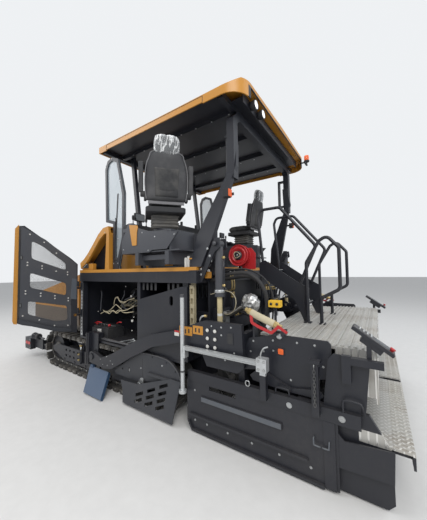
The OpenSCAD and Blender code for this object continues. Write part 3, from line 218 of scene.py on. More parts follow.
def tread_look(f, pitch=0.036):
    """Aluminium tread plate: raised bars in pairs, each cell turned a quarter against its neighbour."""
    k = 1.0 / pitch
    u = f.sum("MULTIPLY", f.sum("ADD", f.x, f.y), k * 0.7071)
    v = f.sum("MULTIPLY", f.sum("SUBTRACT", f.x, f.y), k * 0.7071)
    pu = f.sum("SUBTRACT", f.sum("FRACT", u), 0.5)
    pv = f.sum("SUBTRACT", f.sum("FRACT", v), 0.5)
    parity = f.sum("PINGPONG", f.sum("ADD", f.sum("FLOOR", u), f.sum("FLOOR", v)), 1.0)
    along = f.blend(parity, pu, pv)
    across = f.blend(parity, pv, pu)
    bar = f.sum("ADD", f.sum("POWER", f.sum("DIVIDE", along, 0.46), 2.0),
        f.sum("POWER", f.sum("DIVIDE", across, 0.15), 2.0))
    raised = f.step(bar, 0.55, 1.15, 1.0, 0.0)
    dirt = f.step(f.noise(3.2, 6.0, 0.62), 0.42, 0.7)
    plate = f.mix(dirt, (0.56, 0.55, 0.52), (0.36, 0.33, 0.29))
    colour = f.mix(raised, plate, (0.74, 0.73, 0.70))
    return (colour, f.blend(raised, 0.62, 0.3), f.blend(dirt, 0.75, 0.3), raised)


def rubber_look(f, colour, dust):
    """Rubber with pale road dust in the hollows."""
    cloud = f.step(f.noise(4.0, 6.0, 0.65), 0.4, 0.7, 0.0, dust)
    fine = f.noise(70.0, 4.0, 0.7)
    return (f.mix(f.sum("MULTIPLY", cloud, fine), colour, (0.22, 0.20, 0.17)), 0.72, 0.0, fine)


YELLOW = (0.49, 0.22, 0.028)
GREY = (0.013, 0.0145, 0.021)
DARK = (GREY, 0.4, 0.12, 0.05)

# finishes with one look all over: name, the look's values, then the strength and depth of the relief
PAINTS = {
    "yellow": ("yellow paint", YELLOW, 0.34, 0.25, 0.2, 0.12),
    "dark": ("dark slate paint", *DARK, 0.12),
    "label": ("white paint on plates, bolts and caps", (0.62, 0.61, 0.58), 0.45, 0.3, 0.1, 0.05),
    "hinge": ("blue-grey hinge paint", (0.075, 0.088, 0.108), 0.42, 0.2, 0.25, 0.12),
    "grey": ("mid grey paint", (0.045, 0.048, 0.058), 0.42, 0.35, 0.25, 0.12),
    "cast": ("cast iron", (0.075, 0.077, 0.08), 0.55, 0.4, 0.25, 0.5, 0.004),
    "red": ("red paint", (0.42, 0.018, 0.022), 0.3, 0.12, 0.0, 0.1),
}
STEELS = {
    "foil": ("crumpled foil", (0.80, 0.80, 0.79), 0.26, 0.15, 0.85, 0.3, 0.003),
    "worn": ("worn conveyor steel", (0.36, 0.35, 0.33), 0.34, 0.9, 1.0, 0.2),
    "zinc": ("zinc plating", (0.50, 0.515, 0.52), 0.3, 0.3, 0.9, 0.15),
    "gold": ("yellow passivated steel", (0.50, 0.38, 0.17), 0.35, 0.5, 0.7, 0.15),
}
RUBBERS = {
    "bright_yellow": ("bright yellow moulded plastic", (0.74, 0.44, 0.02), 0.15, 0.1),
    "track": ("dusty track steel and rubber pads", (0.03, 0.029, 0.028), 0.9, 0.5, 0.003),
    "plastic": ("black plastic", (0.021, 0.022, 0.025), 0.15, 0.12),
    "hose": ("hose rubber", (0.018, 0.018, 0.02), 0.25, 0.2),
    "cream": ("cream cable sleeve", (0.50, 0.44, 0.30), 0.5, 0.3),
    "piping": ("pale piping", (0.16, 0.16, 0.17), 0.3, 0.2),
    "bellows": ("grey folded rubber", (0.085, 0.083, 0.08), 0.9, 0.3),
}
M = {}


def plain_finishes():
    """The finishes of the three tables."""
    for look, table, count in ((paint_look, PAINTS, 4), (steel_look, STEELS, 4), (rubber_look, RUBBERS, 2)):
        for key, (title, *values) in table.items():
            f = Finish(title)
            M[key] = f.use(look(f, *values[:count]), *values[count:])


def mixed_finishes():
    """Finishes whose look changes where the solid's part does; the masks are boxes in the machine's frame."""
    f = Finish("yellow hopper paint over a painted shade band")
    # below Z 1.045 the outer wall takes a brown band of painted shade and reflection, standing in for the
    # dark ledge under the wing's lower edge
    band = f.step(f.z, 1.045, 1.05, 1.0, 0.0)
    inner = f.step(f.sum("ABSOLUTE", f.y), 1.2, 1.236, 1.0, 0.0)
    worn = steel_look(f, (0.16, 0.15, 0.14), 0.5, 0.8, 0.6)
    brown = paint_look(f, (0.13, 0.10, 0.075), 0.55, 0.5)
    outside = f.over(band, brown, paint_look(f, YELLOW, 0.34, 0.25, 0.2))
    M["hopper"] = f.use(f.over(inner, worn, outside), 0.12)
    f = Finish("yellow roof, dark on its inner faces")
    inside = f.either(f.inside((ROOF_X0 + 0.19, 0.56), (-0.1, 1.262), (3.4, ROOF_Z + 0.105), 0.002),
        f.inside((ROOF_X0 - 0.05, 0.5), (-0.1, 1.09), (3.4, ROOF_Z + 0.128), 0.002))
    M["roof"] = f.use(f.over(inside, paint_look(f, GREY, 0.5, 0.1, 0.0),
        paint_look(f, YELLOW, 0.34, 0.2, 0.0)), 0.12)
    f = Finish("dark slate paint with a cream slotted bracket")
    bracket = f.inside((-1.231, -1.171), (1.18, 1.236), (0.995, 1.525))
    M["chassis"] = f.use(f.over(bracket, paint_look(f, (0.36, 0.31, 0.20), 0.5, 0.4), paint_look(f, *DARK)),
        0.12)
    f = Finish("slate covers with a blue deflector")
    blue = f.inside((0.05, 1.40), (1.30, 1.9), (0.0, 0.34))
    M["covers"] = f.use(f.over(blue, paint_look(f, (0.030, 0.068, 0.135), 0.4, 0.15, 0.03),
        paint_look(f, (0.025, 0.028, 0.036), 0.42, 0.16, 0.08)), 0.12)
    f = Finish("slate deck with dark tread plate")
    deck = f.inside((-1.3, 0.33), (0.0, 1.222), (1.7035, 1.7065))
    dim = tread_look(f, 0.034)
    deck_look = (f.mix(0.8, dim[0], (0.03, 0.03, 0.034)), dim[1], 0.0, dim[3])
    M["deck"] = f.use(f.over(deck, deck_look, paint_look(f, *DARK)), 0.5, 0.003)
    f = Finish("slate window frame with a pane of painted reflection")
    pane = f.inside(None, (1.2052, 1.2148), None, 0.0004)
    # the pane's pale blue-grey, clouded by noise and half see-through, is a painted reflection of the sky
    glass = (f.mix(f.noise(2.2, 5.0), (0.30, 0.37, 0.42), (0.44, 0.50, 0.54)), 0.06, 0.0, 0.0)
    M["screen"] = f.use(f.over(pane, glass, paint_look(f, *DARK)), 0.1)
    f.put(f.step(pane, 0.3, 0.7, 1.0, 0.5), f.shader.inputs["Alpha"])
    f = Finish("dark display glass")
    M["dark_glass"] = f.use((f.mix(f.noise(5.0), (0.012, 0.016, 0.022), (0.03, 0.04, 0.05)), 0.08, 0.0, None),
        0.0)
    f = Finish("aluminium tread plate")
    M["tread"] = f.use(tread_look(f), 0.8, 0.004)
    f = Finish("polished rod under a cream guard")
    white = f.inside(None, None, (1.175, 1.20), 0.002)
    M["rod"] = f.use(f.over(white, rubber_look(f, (0.66, 0.66, 0.63), 0.2),
        rubber_look(f, (0.52, 0.44, 0.25), 0.35)), 0.2)
    f = Finish("end gate paint with a plated bar and pole")
    plated = f.either(f.inside((-2.16, -1.15), (1.366, 1.46), (0.758, 1.41)),
        f.inside((-1.26, -1.15), (1.358, 1.46), (0.3, 1.41)))
    M["gate"] = f.use(f.over(plated, steel_look(f, (0.62, 0.64, 0.65), 0.32, 0.25, 0.6),
        paint_look(f, *DARK)), 0.12)
    f = Finish("extension paint with a tread plate walkway")
    board = f.inside((-3.2, -2.79), (0.0, 1.4), (0.416, 0.5))
    M["extension"] = f.use(f.over(board, tread_look(f), paint_look(f, *DARK)), 0.5, 0.004)


# Shapes

def show(name, points, faces, mat, body, slot="dark_paint", smooth=True):
    """A mesh from arrays: points (n, 3) and faces (lists of corners), its faces turned outwards."""
    mesh = bpy.data.meshes.new(name)
    mesh.from_pydata(np.asarray(points, float).tolist(), [], [list(map(int, f)) for f in faces])
    bm = bmesh.new()
    bm.from_mesh(mesh)
    bmesh.ops.remove_doubles(bm, verts=bm.verts, dist=1e-6)
    bmesh.ops.recalc_face_normals(bm, faces=bm.faces)
    bm.to_mesh(mesh)
    bm.free()
    mesh.polygons.foreach_set("use_smooth", np.full(len(mesh.polygons), smooth))
    o = bpy.data.objects.new(name, mesh)
    bpy.context.scene.collection.objects.link(o)
    o.data.materials.append(mat)
    if body:
        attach(o, body)
    return o


def soften(o, width, segments=2):
    """Rounded edges wherever two faces meet at more than 35 degrees."""
    b = o.modifiers.new("edge rounding", "BEVEL")
    b.width = width
    b.segments = segments
    b.limit_method = "ANGLE"
    b.angle_limit = math.radians(35.0)
    b.harden_normals = False
    return o


def sheet_faces(rows, cols, close_rows=False, close_cols=False):
    """Corner numbers of the quads of a grid of points stored row by row."""
    r = np.arange(rows if close_rows else rows - 1)
    c = np.arange(cols if close_cols else cols - 1)
    a, b = np.meshgrid(r, c, indexing="ij")
    a2, b2 = (a + 1) % rows, (b + 1) % cols
    return np.stack([a * cols + b, a2 * cols + b, a2 * cols + b2, a * cols + b2], -1).reshape(-1, 4)


def through(points, per=8):
    """A smooth line through the points: between two of them a cubic whose end slopes are half the chord of
    their neighbours."""
    p = np.asarray(points, float)
    q = np.vstack([2 * p[0] - p[1], p, 2 * p[-1] - p[-2]])
    t = np.linspace(0, 1, per, endpoint=False)[:, None]
    a, b, c, d = q[:-3, None], q[1:-2, None], q[2:-1, None], q[3:, None]
    m0, m1 = (c - a) / 2, (d - b) / 2
    line = (2 * t**3 - 3 * t**2 + 1) * b + (t**3 - 2 * t**2 + t) * m0 + (3 * t**2 - 2 * t**3) * c + (t**3
        - t**2) * m1
    return np.vstack([line.reshape(-1, 3), p[-1:]])


def tube(line, radius, sides=12, ridges=0.0, closed=False):
    """A round skin round a line: at each point a circle in the plane square to the line's slope, its radius
    swelling by ridges."""
    p = np.asarray(line, float)
    t = np.gradient(p, axis=0)
    if closed:
        t = np.roll(p, -1, 0) - np.roll(p, 1, 0)
    t /= np.linalg.norm(t, axis=1, keepdims=True)
    ref = np.eye(3)[np.argmin(np.abs(t).mean(0))]
    n = np.cross(t, ref)
    n /= np.linalg.norm(n, axis=1, keepdims=True)
    b = np.cross(t, n)
    a = np.linspace(0, 2 * np.pi, sides, endpoint=False)
    r = np.full(len(p), float(radius)) if np.isscalar(radius) else np.asarray(radius, float)
    if ridges:
        r = r * (1 + ridges * (np.arange(len(p)) % 2))
    ring = p[:, None] + r[:, None, None] * (np.cos(a)[:, None] * n[:, None] + np.sin(a)[:, None] * b[:, None])
    pts = ring.reshape(-1, 3)
    f = [list(q) for q in sheet_faces(len(p), sides, closed, True)]
    if not closed:
        f += [list(range(sides)), list(range(len(pts) - sides, len(pts)))]
    return pts, f


AXES = {"x": (1, 2, 0), "y": (0, 2, 1), "z": (0, 1, 2)}


def lathe(profile, centre, axis, sides=32):
    """A profile of (radius, height) pairs turned round an axis through centre."""
    pr = np.asarray(profile, float)
    a = np.linspace(0, 2 * np.pi, sides, endpoint=False)
    i, j, k = AXES[axis]
    pts = np.zeros((len(pr), sides, 3))
    pts[..., i] = pr[:, :1] * np.cos(a)
    pts[..., j] = pr[:, :1] * np.sin(a)
    pts[..., k] = pr[:, 1:]
    f = [list(q) for q in sheet_faces(len(pr), sides, False, True)]
    n = len(pr) * sides
    if pr[0, 0] > 1e-6:
        f.append(list(range(sides)))
    if pr[-1, 0] > 1e-6:
        f.append(list(range(n - sides, n)))
    return pts.reshape(-1, 3) + np.asarray(centre, float), f


def plate(outline, axis, low, high):
    """A flat outline in the plane square to axis, given from low to high along it."""
    o = np.asarray(outline, float)
    i, j, k = AXES[axis]
    pts = np.zeros((2, len(o), 3))
    pts[..., i] = o[:, 0]
    pts[..., j] = o[:, 1]
    pts[0, :, k] = low
    pts[1, :, k] = high
    n = len(o)
    f = [list(range(n)), list(range(n, 2 * n))] + [[a, (a + 1) % n, n + (a + 1) % n, n + a] for a in range(n)]
    return pts.reshape(-1, 3), f


def block(x0, x1, y0, y1, z0, z1):
    return plate([(x0, y0), (x1, y0), (x1, y1), (x0, y1)], "z", z0, z1)


def gather(parts):
    """Several (points, faces) pairs as one."""
    pts, faces, n = [], [], 0
    for p, f in parts:
        pts.append(np.asarray(p, float))
        faces += [[c + n for c in q] for q in f]
        n += len(p)
    return np.vstack(pts), faces


def copies(part, places):
    """The same part set at each of the places."""
    p, f = part
    return gather([(np.asarray(p) + np.asarray(at, float), f) for at in places])


def turned(part, angle, axis, centre):
    """The part turned by an angle in degrees round an axis through centre."""
    p, f = part
    a = math.radians(angle)
    c, s = math.cos(a), math.sin(a)
    m = {"x": [[1, 0, 0], [0, c, -s], [0, s, c]], "y": [[c, 0, s], [0, 1, 0], [-s, 0, c]],
        "z": [[c, -s, 0], [s, c, 0], [0, 0, 1]]}[axis]
    o = np.asarray(centre, float)
    return (np.asarray(p) - o) @ np.array(m).T + o, f


def mirrored(part):
    p, f = part
    return np.asarray(p) * (1, -1, 1), [q[::-1] for q in f]


def moved(part, shift):
    return np.asarray(part[0]) + shift, part[1]


def bolt(axis, radius, high, sides=6):
    """A bolt head on its washer: hexagon rings, the last one drawn in for the chamfer."""
    return lathe([(radius * 1.3, 0), (radius * 1.3, high * 0.18), (radius, high * 0.18),
        (radius, high * 0.85), (radius * 0.86, high)], (0, 0, 0), axis, sides)


# Camera, floor and light

CAMERA_AT = (-2.95, 3.386, 1.65)
CAMERA_TURN = (33.91, 2.72, -0.81)
FOCAL_PX, PHOTO_WIDTH_PX = 244.2, 427.0
SENSOR_MM = 36.0


def camera():
    """The camera fitted to the photo: its turn is yaw, pitch and roll in degrees, its focal length is in
    pixels."""
    yaw, pitch, roll = np.radians(CAMERA_TURN)
    ahead = np.array([math.sin(yaw) * math.cos(pitch), -math.cos(yaw) * math.cos(pitch), math.sin(pitch)])
    right = np.array([-math.cos(yaw), -math.sin(yaw), 0.0])
    up = np.cross(right, ahead)
    r = math.cos(roll) * right + math.sin(roll) * up
    u = -math.sin(roll) * right + math.cos(roll) * up
    data = bpy.data.cameras.new("camera")
    data.sensor_fit = "HORIZONTAL"
    data.sensor_width = SENSOR_MM
    data.lens = FOCAL_PX * SENSOR_MM / PHOTO_WIDTH_PX
    data.clip_end = 200.0
    cam = bpy.data.objects.new("camera", data)
    m = np.eye(4)
    m[:3, 0], m[:3, 1], m[:3, 2], m[:3, 3] = r, u, -ahead, CAMERA_AT
    cam.matrix_world = Matrix(m.tolist())
    bpy.context.scene.collection.objects.link(cam)
    bpy.context.scene.camera = cam


def studio():
    """A pale floor, a sky that the camera sees brighter than it lights, and four lamps aimed at the
    machine."""
    f = Finish("pale floor")
    grain = f.noise(9.0, 6.0)
    floor_mat = f.use((f.mix(grain, (0.60, 0.595, 0.585), (0.68, 0.675, 0.665)), 0.8, 0.0, grain), 0.05)
    mesh = bpy.data.meshes.new("floor")
    mesh.from_pydata([(-60, -60, 0), (60, -60, 0), (60, 60, 0), (-60, 60, 0)], [], [(0, 1, 2, 3)])
    floor = bpy.data.objects.new("floor", mesh)
    mesh.materials.append(floor_mat)
    bpy.context.scene.collection.objects.link(floor)
    world = bpy.data.worlds.new("studio")
    bpy.context.scene.world = world
    world.use_nodes = True
    t = world.node_tree
    t.nodes.clear()
    out = t.nodes.new("ShaderNodeOutputWorld")
    path = t.nodes.new("ShaderNodeLightPath")
    soft = t.nodes.new("ShaderNodeBackground")
    soft.inputs[0].default_value = (0.93, 0.96, 1.0, 1)
    soft.inputs[1].default_value = 0.62
    seen = t.nodes.new("ShaderNodeBackground")
    seen.inputs[0].default_value = (0.86, 0.88, 0.90, 1)
    seen.inputs[1].default_value = 1.0
    mixer = t.nodes.new("ShaderNodeMixShader")
    t.links.new(path.outputs["Is Camera Ray"], mixer.inputs[0])
    t.links.new(soft.outputs[0], mixer.inputs[1])
    t.links.new(seen.outputs[0], mixer.inputs[2])
    t.links.new(mixer.outputs[0], out.inputs[0])
    for name, at, size, power, colour in (("key", (-6, 7, 8), 6, 620, (1, 0.98, 0.95)),
            ("fill", (-9, -3, 6), 7, 260, (0.9, 0.95, 1)), ("front", (7, 6, 7), 6, 320, (1, 1, 1)),
            ("top", (0, 0, 10), 8, 260, (1, 1, 1))):
        data = bpy.data.lights.new(name, "AREA")
        data.size = size
        data.energy = power
        data.color = colour
        lamp = bpy.data.objects.new(name, data)
        at = np.array(at, float)
        z = at - (0, 0, 1)
        z /= np.linalg.norm(z)
        x = np.cross((0, 1, 0), z)
        x /= np.linalg.norm(x)
        m = np.eye(4)
        m[:3, 0], m[:3, 1], m[:3, 2], m[:3, 3] = x, np.cross(z, x), z, at
        lamp.matrix_world = Matrix(m.tolist())
        bpy.context.scene.collection.objects.link(lamp)
    bpy.context.scene.view_settings.view_transform = "Standard"


# Dressing of the solids

NODE_FINISH = {
    "chassis": "chassis", "undercarriage": "dark", "track_covers": "covers", "hood": "yellow",
    "platform": "deck", "deck_edge": "yellow", "engine_block": "cast", "battery_box": "plastic",
    "conveyor": "worn", "canopy_roof": "roof", "canopy_frame": "dark", "windscreens": "screen",
    "control_console": "plastic", "hydraulic_rack": "dark", "hose_reel": "red", "front_frame": "dark",
    "lamps": "plastic", "push_beam": "yellow", "screed_frame": "dark", "walkway": "tread", "stairs": "dark",
}
# solids that end in _left and _right
SIDED_FINISH = {
    "track": "track", "seat_console": "grey", "seat": "plastic", "hopper_wing": "hopper",
    "engine_door": "dark", "push_roller": "worn", "auger": "cast", "tow_arm": "dark",
    "extension": "extension", "end_gate": "gate", "lift_barrel": "grey", "lift_rod": "rod",
}


def dress():
    """Every solid in its finish."""
    for name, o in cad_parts.items():
        o.data.materials.clear()
        finish = NODE_FINISH.get(name) or SIDED_FINISH[name.rsplit("_", 1)[0]]
        o.data.materials.append(M[finish])


# Seats

SEAT_Z = 2.14
SEAT_LEAN = -9.0
BACK_PIVOT = (-0.215, 0, SEAT_Z + 0.30)
SEATS = {"left": ("swivel_seat_left", -40.0, (-0.77, 1.22)), "right": ("swivel_seat_right", 0.0,
    (-0.77, -0.95))}


def sign_power(v, e):
    return np.sign(v) * np.abs(v) ** e


def pillow(half, centre, plan=0.45, edge=0.6, waist=None, lean=0.0, crown=0.0, rows=28, cols=56):
    """A crowned closed form: X = a C(v) C(u), Y = b C(v) S(u), Z = c S(v), with C, S the cosine and sine each
    raised to a power below 1; waist(z) scales its width, and lean turns it back about Y."""
    v = np.linspace(-np.pi / 2, np.pi / 2, rows)[:, None]
    u = np.linspace(0, 2 * np.pi, cols, endpoint=False)[None]
    a, b, c = half
    x = a * sign_power(np.cos(v), edge) * sign_power(np.cos(u), plan)
    y = b * sign_power(np.cos(v), edge) * sign_power(np.sin(u), plan)
    z = c * sign_power(np.sin(v), edge) * np.ones_like(u)
    if waist is not None:
        y = y * waist(z / c)
    if crown:
        z = z + crown * (1 - (x / a) ** 2) * (1 - (y / b) ** 2) * (z > 0)
    p = np.stack([x, y, z], -1).reshape(-1, 3) + np.asarray(centre, float)
    return turned((p, [list(q) for q in sheet_faces(rows, cols, False, True)]), lean, "y", BACK_PIVOT)


def pad(name, part, mat, cap, voxel=0.006):
    """A stuffed piece: its start form is remeshed, blown up as cloth for twenty frames, and no point moves
    past the cap."""
    o = show(name, *part, mat, "tractor", "seat_vinyl")
    r = o.modifiers.new("even mesh", "REMESH")
    r.mode = "VOXEL"
    r.voxel_size = voxel
    bpy.context.view_layer.update()
    freeze(o)
    start = points_of(o)
    c = o.modifiers.new("stuffing", "CLOTH")
    c.settings.use_pressure = True
    c.settings.uniform_pressure_force = 4.0
    c.settings.effector_weights.gravity = 0.0
    c.settings.quality = 4
    scene = bpy.context.scene
    for frame_number in range(1, 21):
        scene.frame_set(frame_number)
    freeze(o)
    way = points_of(o) - start
    far = np.linalg.norm(way, axis=1, keepdims=True)
    set_points(o, start + way * np.minimum(1.0, cap / np.maximum(far, 1e-9)))
    o.data.polygons.foreach_set("use_smooth", np.ones(len(o.data.polygons), bool))
    return o


def freeze(o):
    """The piece's modifiers made part of its mesh."""
    deps = bpy.context.evaluated_depsgraph_get()
    mesh = bpy.data.meshes.new_from_object(o.evaluated_get(deps))
    old = o.data
    o.modifiers.clear()
    o.data = mesh
    mesh.name = old.name
    bpy.data.meshes.remove(old)


def points_of(o):
    co = np.zeros(len(o.data.vertices) * 3)
    o.data.vertices.foreach_get("co", co)
    return co.reshape(-1, 3)


def set_points(o, p):
    o.data.vertices.foreach_set("co", np.asarray(p, float).ravel())
    o.data.update()


def seat_spot(part, side):
    """From the seat's own frame to the machine's: a turn about Z, then a shift to its place."""
    _, angle, (x, y) = SEATS[side]
    return moved(turned(part, angle, "z", (0, 0, 0)), (x, y, 0))


def rounded(a, b, r, n=5):
    """Corners of a rectangle of half sizes a and b with its corners rounded to r."""
    t = np.linspace(0, np.pi / 2, n)
    out = []
    for k, (sx, sy) in enumerate(((1, 1), (-1, 1), (-1, -1), (1, -1))):
        ang = t + k * np.pi / 2
        out += list(np.c_[sx * (a - r) + r * np.cos(ang), sy * (b - r) + r * np.sin(ang)])
    return out


def bellows(height, folds, z0):
    """Rubber folds: a rounded rectangle at each height, its half sizes swelling as the fourth power of a
    sine."""
    rows = folds * 10 + 1
    t = np.linspace(0, folds, rows)
    swell = 1 - np.abs(np.cos(np.pi * t)) ** 1.6
    base = np.array(rounded(1.0, 1.0, 0.22, 7))
    half = np.stack([0.132 + 0.018 * swell, 0.147 + 0.018 * swell], -1)
    xy = base[None] * half[:, None]
    z = np.repeat((z0 + height * t / folds)[:, None, None], len(base), 1)
    n = len(base)
    faces = [list(q) for q in sheet_faces(rows, n, False, True)]
    faces += [list(range(n)), list(range(rows * n - n, rows * n))]
    return np.concatenate([xy, z], -1).reshape(-1, 3), faces


def back_width(t):
    """Width of the back by height: full at the shoulders, drawn in at the top and a little at the foot."""
    return np.interp(t, [-1, -0.75, -0.2, 0.45, 0.8, 1], [0.93, 0.97, 1.0, 0.93, 0.78, 0.66])


def seats():
    """The padded pieces are made once and set on both seats, each on the body of its own swivel."""
    made = {}
    for name, part, cap in (("seat_cushion", pillow((0.222, 0.212, 0.043), (0.045, 0, SEAT_Z + 0.325), 0.4,
            0.5, crown=0.008), 0.016), ("seat_backrest", pillow((0.042, 0.222, 0.255),
            (-0.205, 0, SEAT_Z + 0.60), 0.45, 0.5, back_width, SEAT_LEAN), 0.016),
            ("seat_headrest", pillow((0.032, 0.116, 0.082), (-0.232, 0, SEAT_Z + 0.955), 0.5, 0.5, None,
            SEAT_LEAN), 0.012)):
        base = pad(name + "_left", part, M["fabric"], cap)
        own = points_of(base)
        faces = [list(p.vertices) for p in base.data.polygons]
        bpy.data.objects.remove(base)
        for side, (body, _, _) in SEATS.items():
            mesh = bpy.data.meshes.new(f"{name}_{side}")
            mesh.from_pydata(seat_spot((own, []), side)[0].tolist(), [], faces)
            mesh.polygons.foreach_set("use_smooth", np.ones(len(faces), bool))
            o = bpy.data.objects.new(f"{name}_{side}", mesh)
            bpy.context.scene.collection.objects.link(o)
            mesh.materials.append(M["fabric"])
            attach(o, body)
            made[name, side] = o
    for side in SEATS:
        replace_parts(made["seat_cushion", side], "seat_" + side)
        hard_seat_parts(side)
        wrap(side)


def hard_seat_parts(side):
    """Pan, bellows, swivel, back shell, pocket, piping, armrests, rail and headrest posts of one seat."""
    body = SEATS[side][0]

    def put(name, part, mat, slot, smooth=True, width=0.0, segments=2, leans=False):
        if leans:
            part = turned(part, SEAT_LEAN, "y", BACK_PIVOT)
        o = show(f"{name}_{side}", *seat_spot(part, side), M[mat], body, slot, smooth)
        if width:
            soften(o, width, segments)

    pan = plate(rounded(0.245, 0.232, 0.05), "z", SEAT_Z + 0.202, SEAT_Z + 0.268)
    put("seat_pan", moved(pan, (0.005, 0, 0)), "plastic", "black_plastic", False, 0.012, 3)
    put("seat_bellows", bellows(0.166, 4, SEAT_Z + 0.035), "bellows", "black_plastic")
    disc = lathe([(0.0, 0.0003), (0.148, 0.0003), (0.148, 0.034), (0.12, 0.04), (0.12, 0.096), (0, 0.096)],
        (0, 0, SEAT_Z), "z", 40)
    put("seat_swivel", disc, "dark", "dark_paint", False, 0.003)
    put("seat_back_shell", back_shell(), "back", "black_plastic", leans=True)
    put("seat_pocket", back_pocket(), "fabric", "seat_vinyl", leans=True)
    half = [(0.93, 0.02), (0.98, 0.2), (1.0, 0.42), (0.95, 0.68), (0.82, 0.86), (0.66, 0.985)]
    loop = [(-w, h) for w, h in half] + [(0.0, 1.0)] + half[::-1]
    piping = pipe([(-0.246, w * 0.24, SEAT_Z + 0.33 + 0.545 * h) for w, h in loop], 0.006, 6, 8)
    put("seat_piping", piping, "piping", "grey_paint", leans=True)
    arms, pivots = [], []
    for k in (-1, 1):
        arm = moved(plate(rounded(0.034, 0.027, 0.012), "z", SEAT_Z + 0.42, SEAT_Z + 0.75),
            (-0.225, k * 0.282, 0))
        arms.append(turned(arm, SEAT_LEAN, "y", (-0.23, 0, SEAT_Z + 0.42)))
        pivots.append(lathe([(0.03, -0.04), (0.034, -0.03), (0.034, 0.03), (0.03, 0.04)],
            (-0.222, k * 0.25, SEAT_Z + 0.40), "y", 24))
        pivots.append(block(-0.25, -0.18, *sorted((k * 0.222, k * 0.25)), SEAT_Z + 0.33, SEAT_Z + 0.43))
    put("seat_armrests", gather(arms), "back", "black_plastic", False, 0.006, 3)
    put("seat_arm_pivots", gather(pivots), "plastic", "black_plastic", False, 0.004)
    rail = plate([(-0.252, SEAT_Z + 0.292), (-0.240, SEAT_Z + 0.288), (-0.236, SEAT_Z + 0.322),
        (-0.250, SEAT_Z + 0.326)], "y", -0.205, 0.205)
    put("seat_rear_rail", rail, "piping", "galvanised", False, 0.003)
    posts = [tube([(-0.225, y, SEAT_Z + 0.83), (-0.228, y, SEAT_Z + 0.90)], 0.007, 10) for y in (-0.05, 0.05)]
    put("headrest_posts", gather(posts), "zinc", "galvanised", leans=True)


def back_shell(rows=34, cols=30):
    """Hard shell over the back: y = w(t) s, z rises with t, x = -0.232 - 0.045 e^0.5 - 0.006 cos(pi s / 2),
    where e = (1 - |s|^6) (1 - |2t - 1|^8) falls to nothing at the rim; t runs 0..1 up, s -1..1 across."""
    t = np.linspace(0.0, 1, rows)[:, None]
    s = np.linspace(-1, 1, cols)[None]
    edge = (1 - np.abs(s) ** 6) * (1 - np.abs(2 * t - 1) ** 8)
    x = -0.232 - 0.045 * edge ** 0.5 - 0.006 * np.cos(np.pi * s / 2)
    y = 0.24 * back_width(2 * t - 1) * s
    return thick_sheet(np.stack([x, y, SEAT_Z + 0.33 + 0.545 * t + 0 * s], -1), (0.012, 0, 0))


def back_pocket(rows=36, cols=30):
    """Pocket on the shell: x = -0.276 - 0.022 d^0.6 + 0.010 c - 0.004 h, a dome d cut off like the shell's, a
    crease c = exp(-((t - 0.2 - 0.07 s^2) / 0.018)^2) and a hem h = exp(-((t - 0.93) / 0.02)^2)."""
    t = np.linspace(0, 1, rows)[:, None]
    s = np.linspace(-1, 1, cols)[None]
    dome = (1 - np.abs(s) ** 8) * (1 - np.abs(2 * t - 1) ** 10)
    crease = np.exp(-((t - (0.20 + 0.07 * s * s)) / 0.018) ** 2) * (np.abs(s) < 0.62)
    hem = np.exp(-((t - 0.93) / 0.02) ** 2)
    x = -0.276 - 0.022 * dome ** 0.6 + 0.010 * crease - 0.004 * hem
    return thick_sheet(np.stack([x, (0.128 + 0.012 * t) * s, SEAT_Z + 0.375 + 0.32 * t + 0 * s], -1),
        (0.02, 0, 0))


def thick_sheet(outer, shift):
    """A grid of points and the same grid moved by shift, joined round their rims."""
    rows, cols = outer.shape[:2]
    pts = np.concatenate([outer.reshape(-1, 3), (outer + np.asarray(shift)).reshape(-1, 3)])
    n = rows * cols
    f = [list(q) for q in sheet_faces(rows, cols)]
    f += [[c + n for c in q[::-1]] for q in f]
    rim = list(range(cols)) + [r * cols + cols - 1 for r in range(1, rows)]
    rim += [n - 2 - c for c in range(cols - 1)] + [r * cols for r in range(rows - 2, 0, -1)]
    return pts, f + [[a, b, b + n, a + n] for a, b in zip(rim, rim[1:] + rim[:1])]


def wrap(side):
    """Clear film drawn over the headrest and gathered under it: an open bag whose radius carries sharp
    creases, the sum of folded sines of both its parameters."""
    rows, cols = 46, 110
    v = np.linspace(np.pi / 2, -1.15, rows)[:, None]
    u = np.linspace(0, 2 * np.pi, cols, endpoint=False)[None]
    fold = sum(a * np.abs(np.sin(k * u + m * v + q)) for a, k, m, q in ((1.0, 5, 2.2, 0.3),
        (0.8, 8, -3.1, 1.1), (0.6, 13, 4.7, 2.0), (0.4, 21, -6.3, 0.7)))
    r = 1.0 + 0.035 * (fold - 1.7)
    low = np.clip((-v - 0.35) / 0.8, 0, 1)
    neck = 1 - 0.22 * low ** 1.5
    x = -0.232 + 0.052 * r * neck * sign_power(np.cos(v), 0.5) * sign_power(np.cos(u), 0.55)
    y = 0.142 * r * neck * sign_power(np.cos(v), 0.5) * sign_power(np.sin(u), 0.55)
    z = SEAT_Z + 0.945 + 0.112 * (1 + 0.05 * (fold - 1.7)) * sign_power(np.sin(v), 0.6)
    part = (np.stack([x, y, z], -1).reshape(-1, 3), [list(q) for q in sheet_faces(rows, cols, False, True)])
    part = turned(part, SEAT_LEAN, "y", BACK_PIVOT)
    o = show("headrest_film_" + side, *seat_spot(part, side), M["film"], SEATS[side][0], "clear_lens")


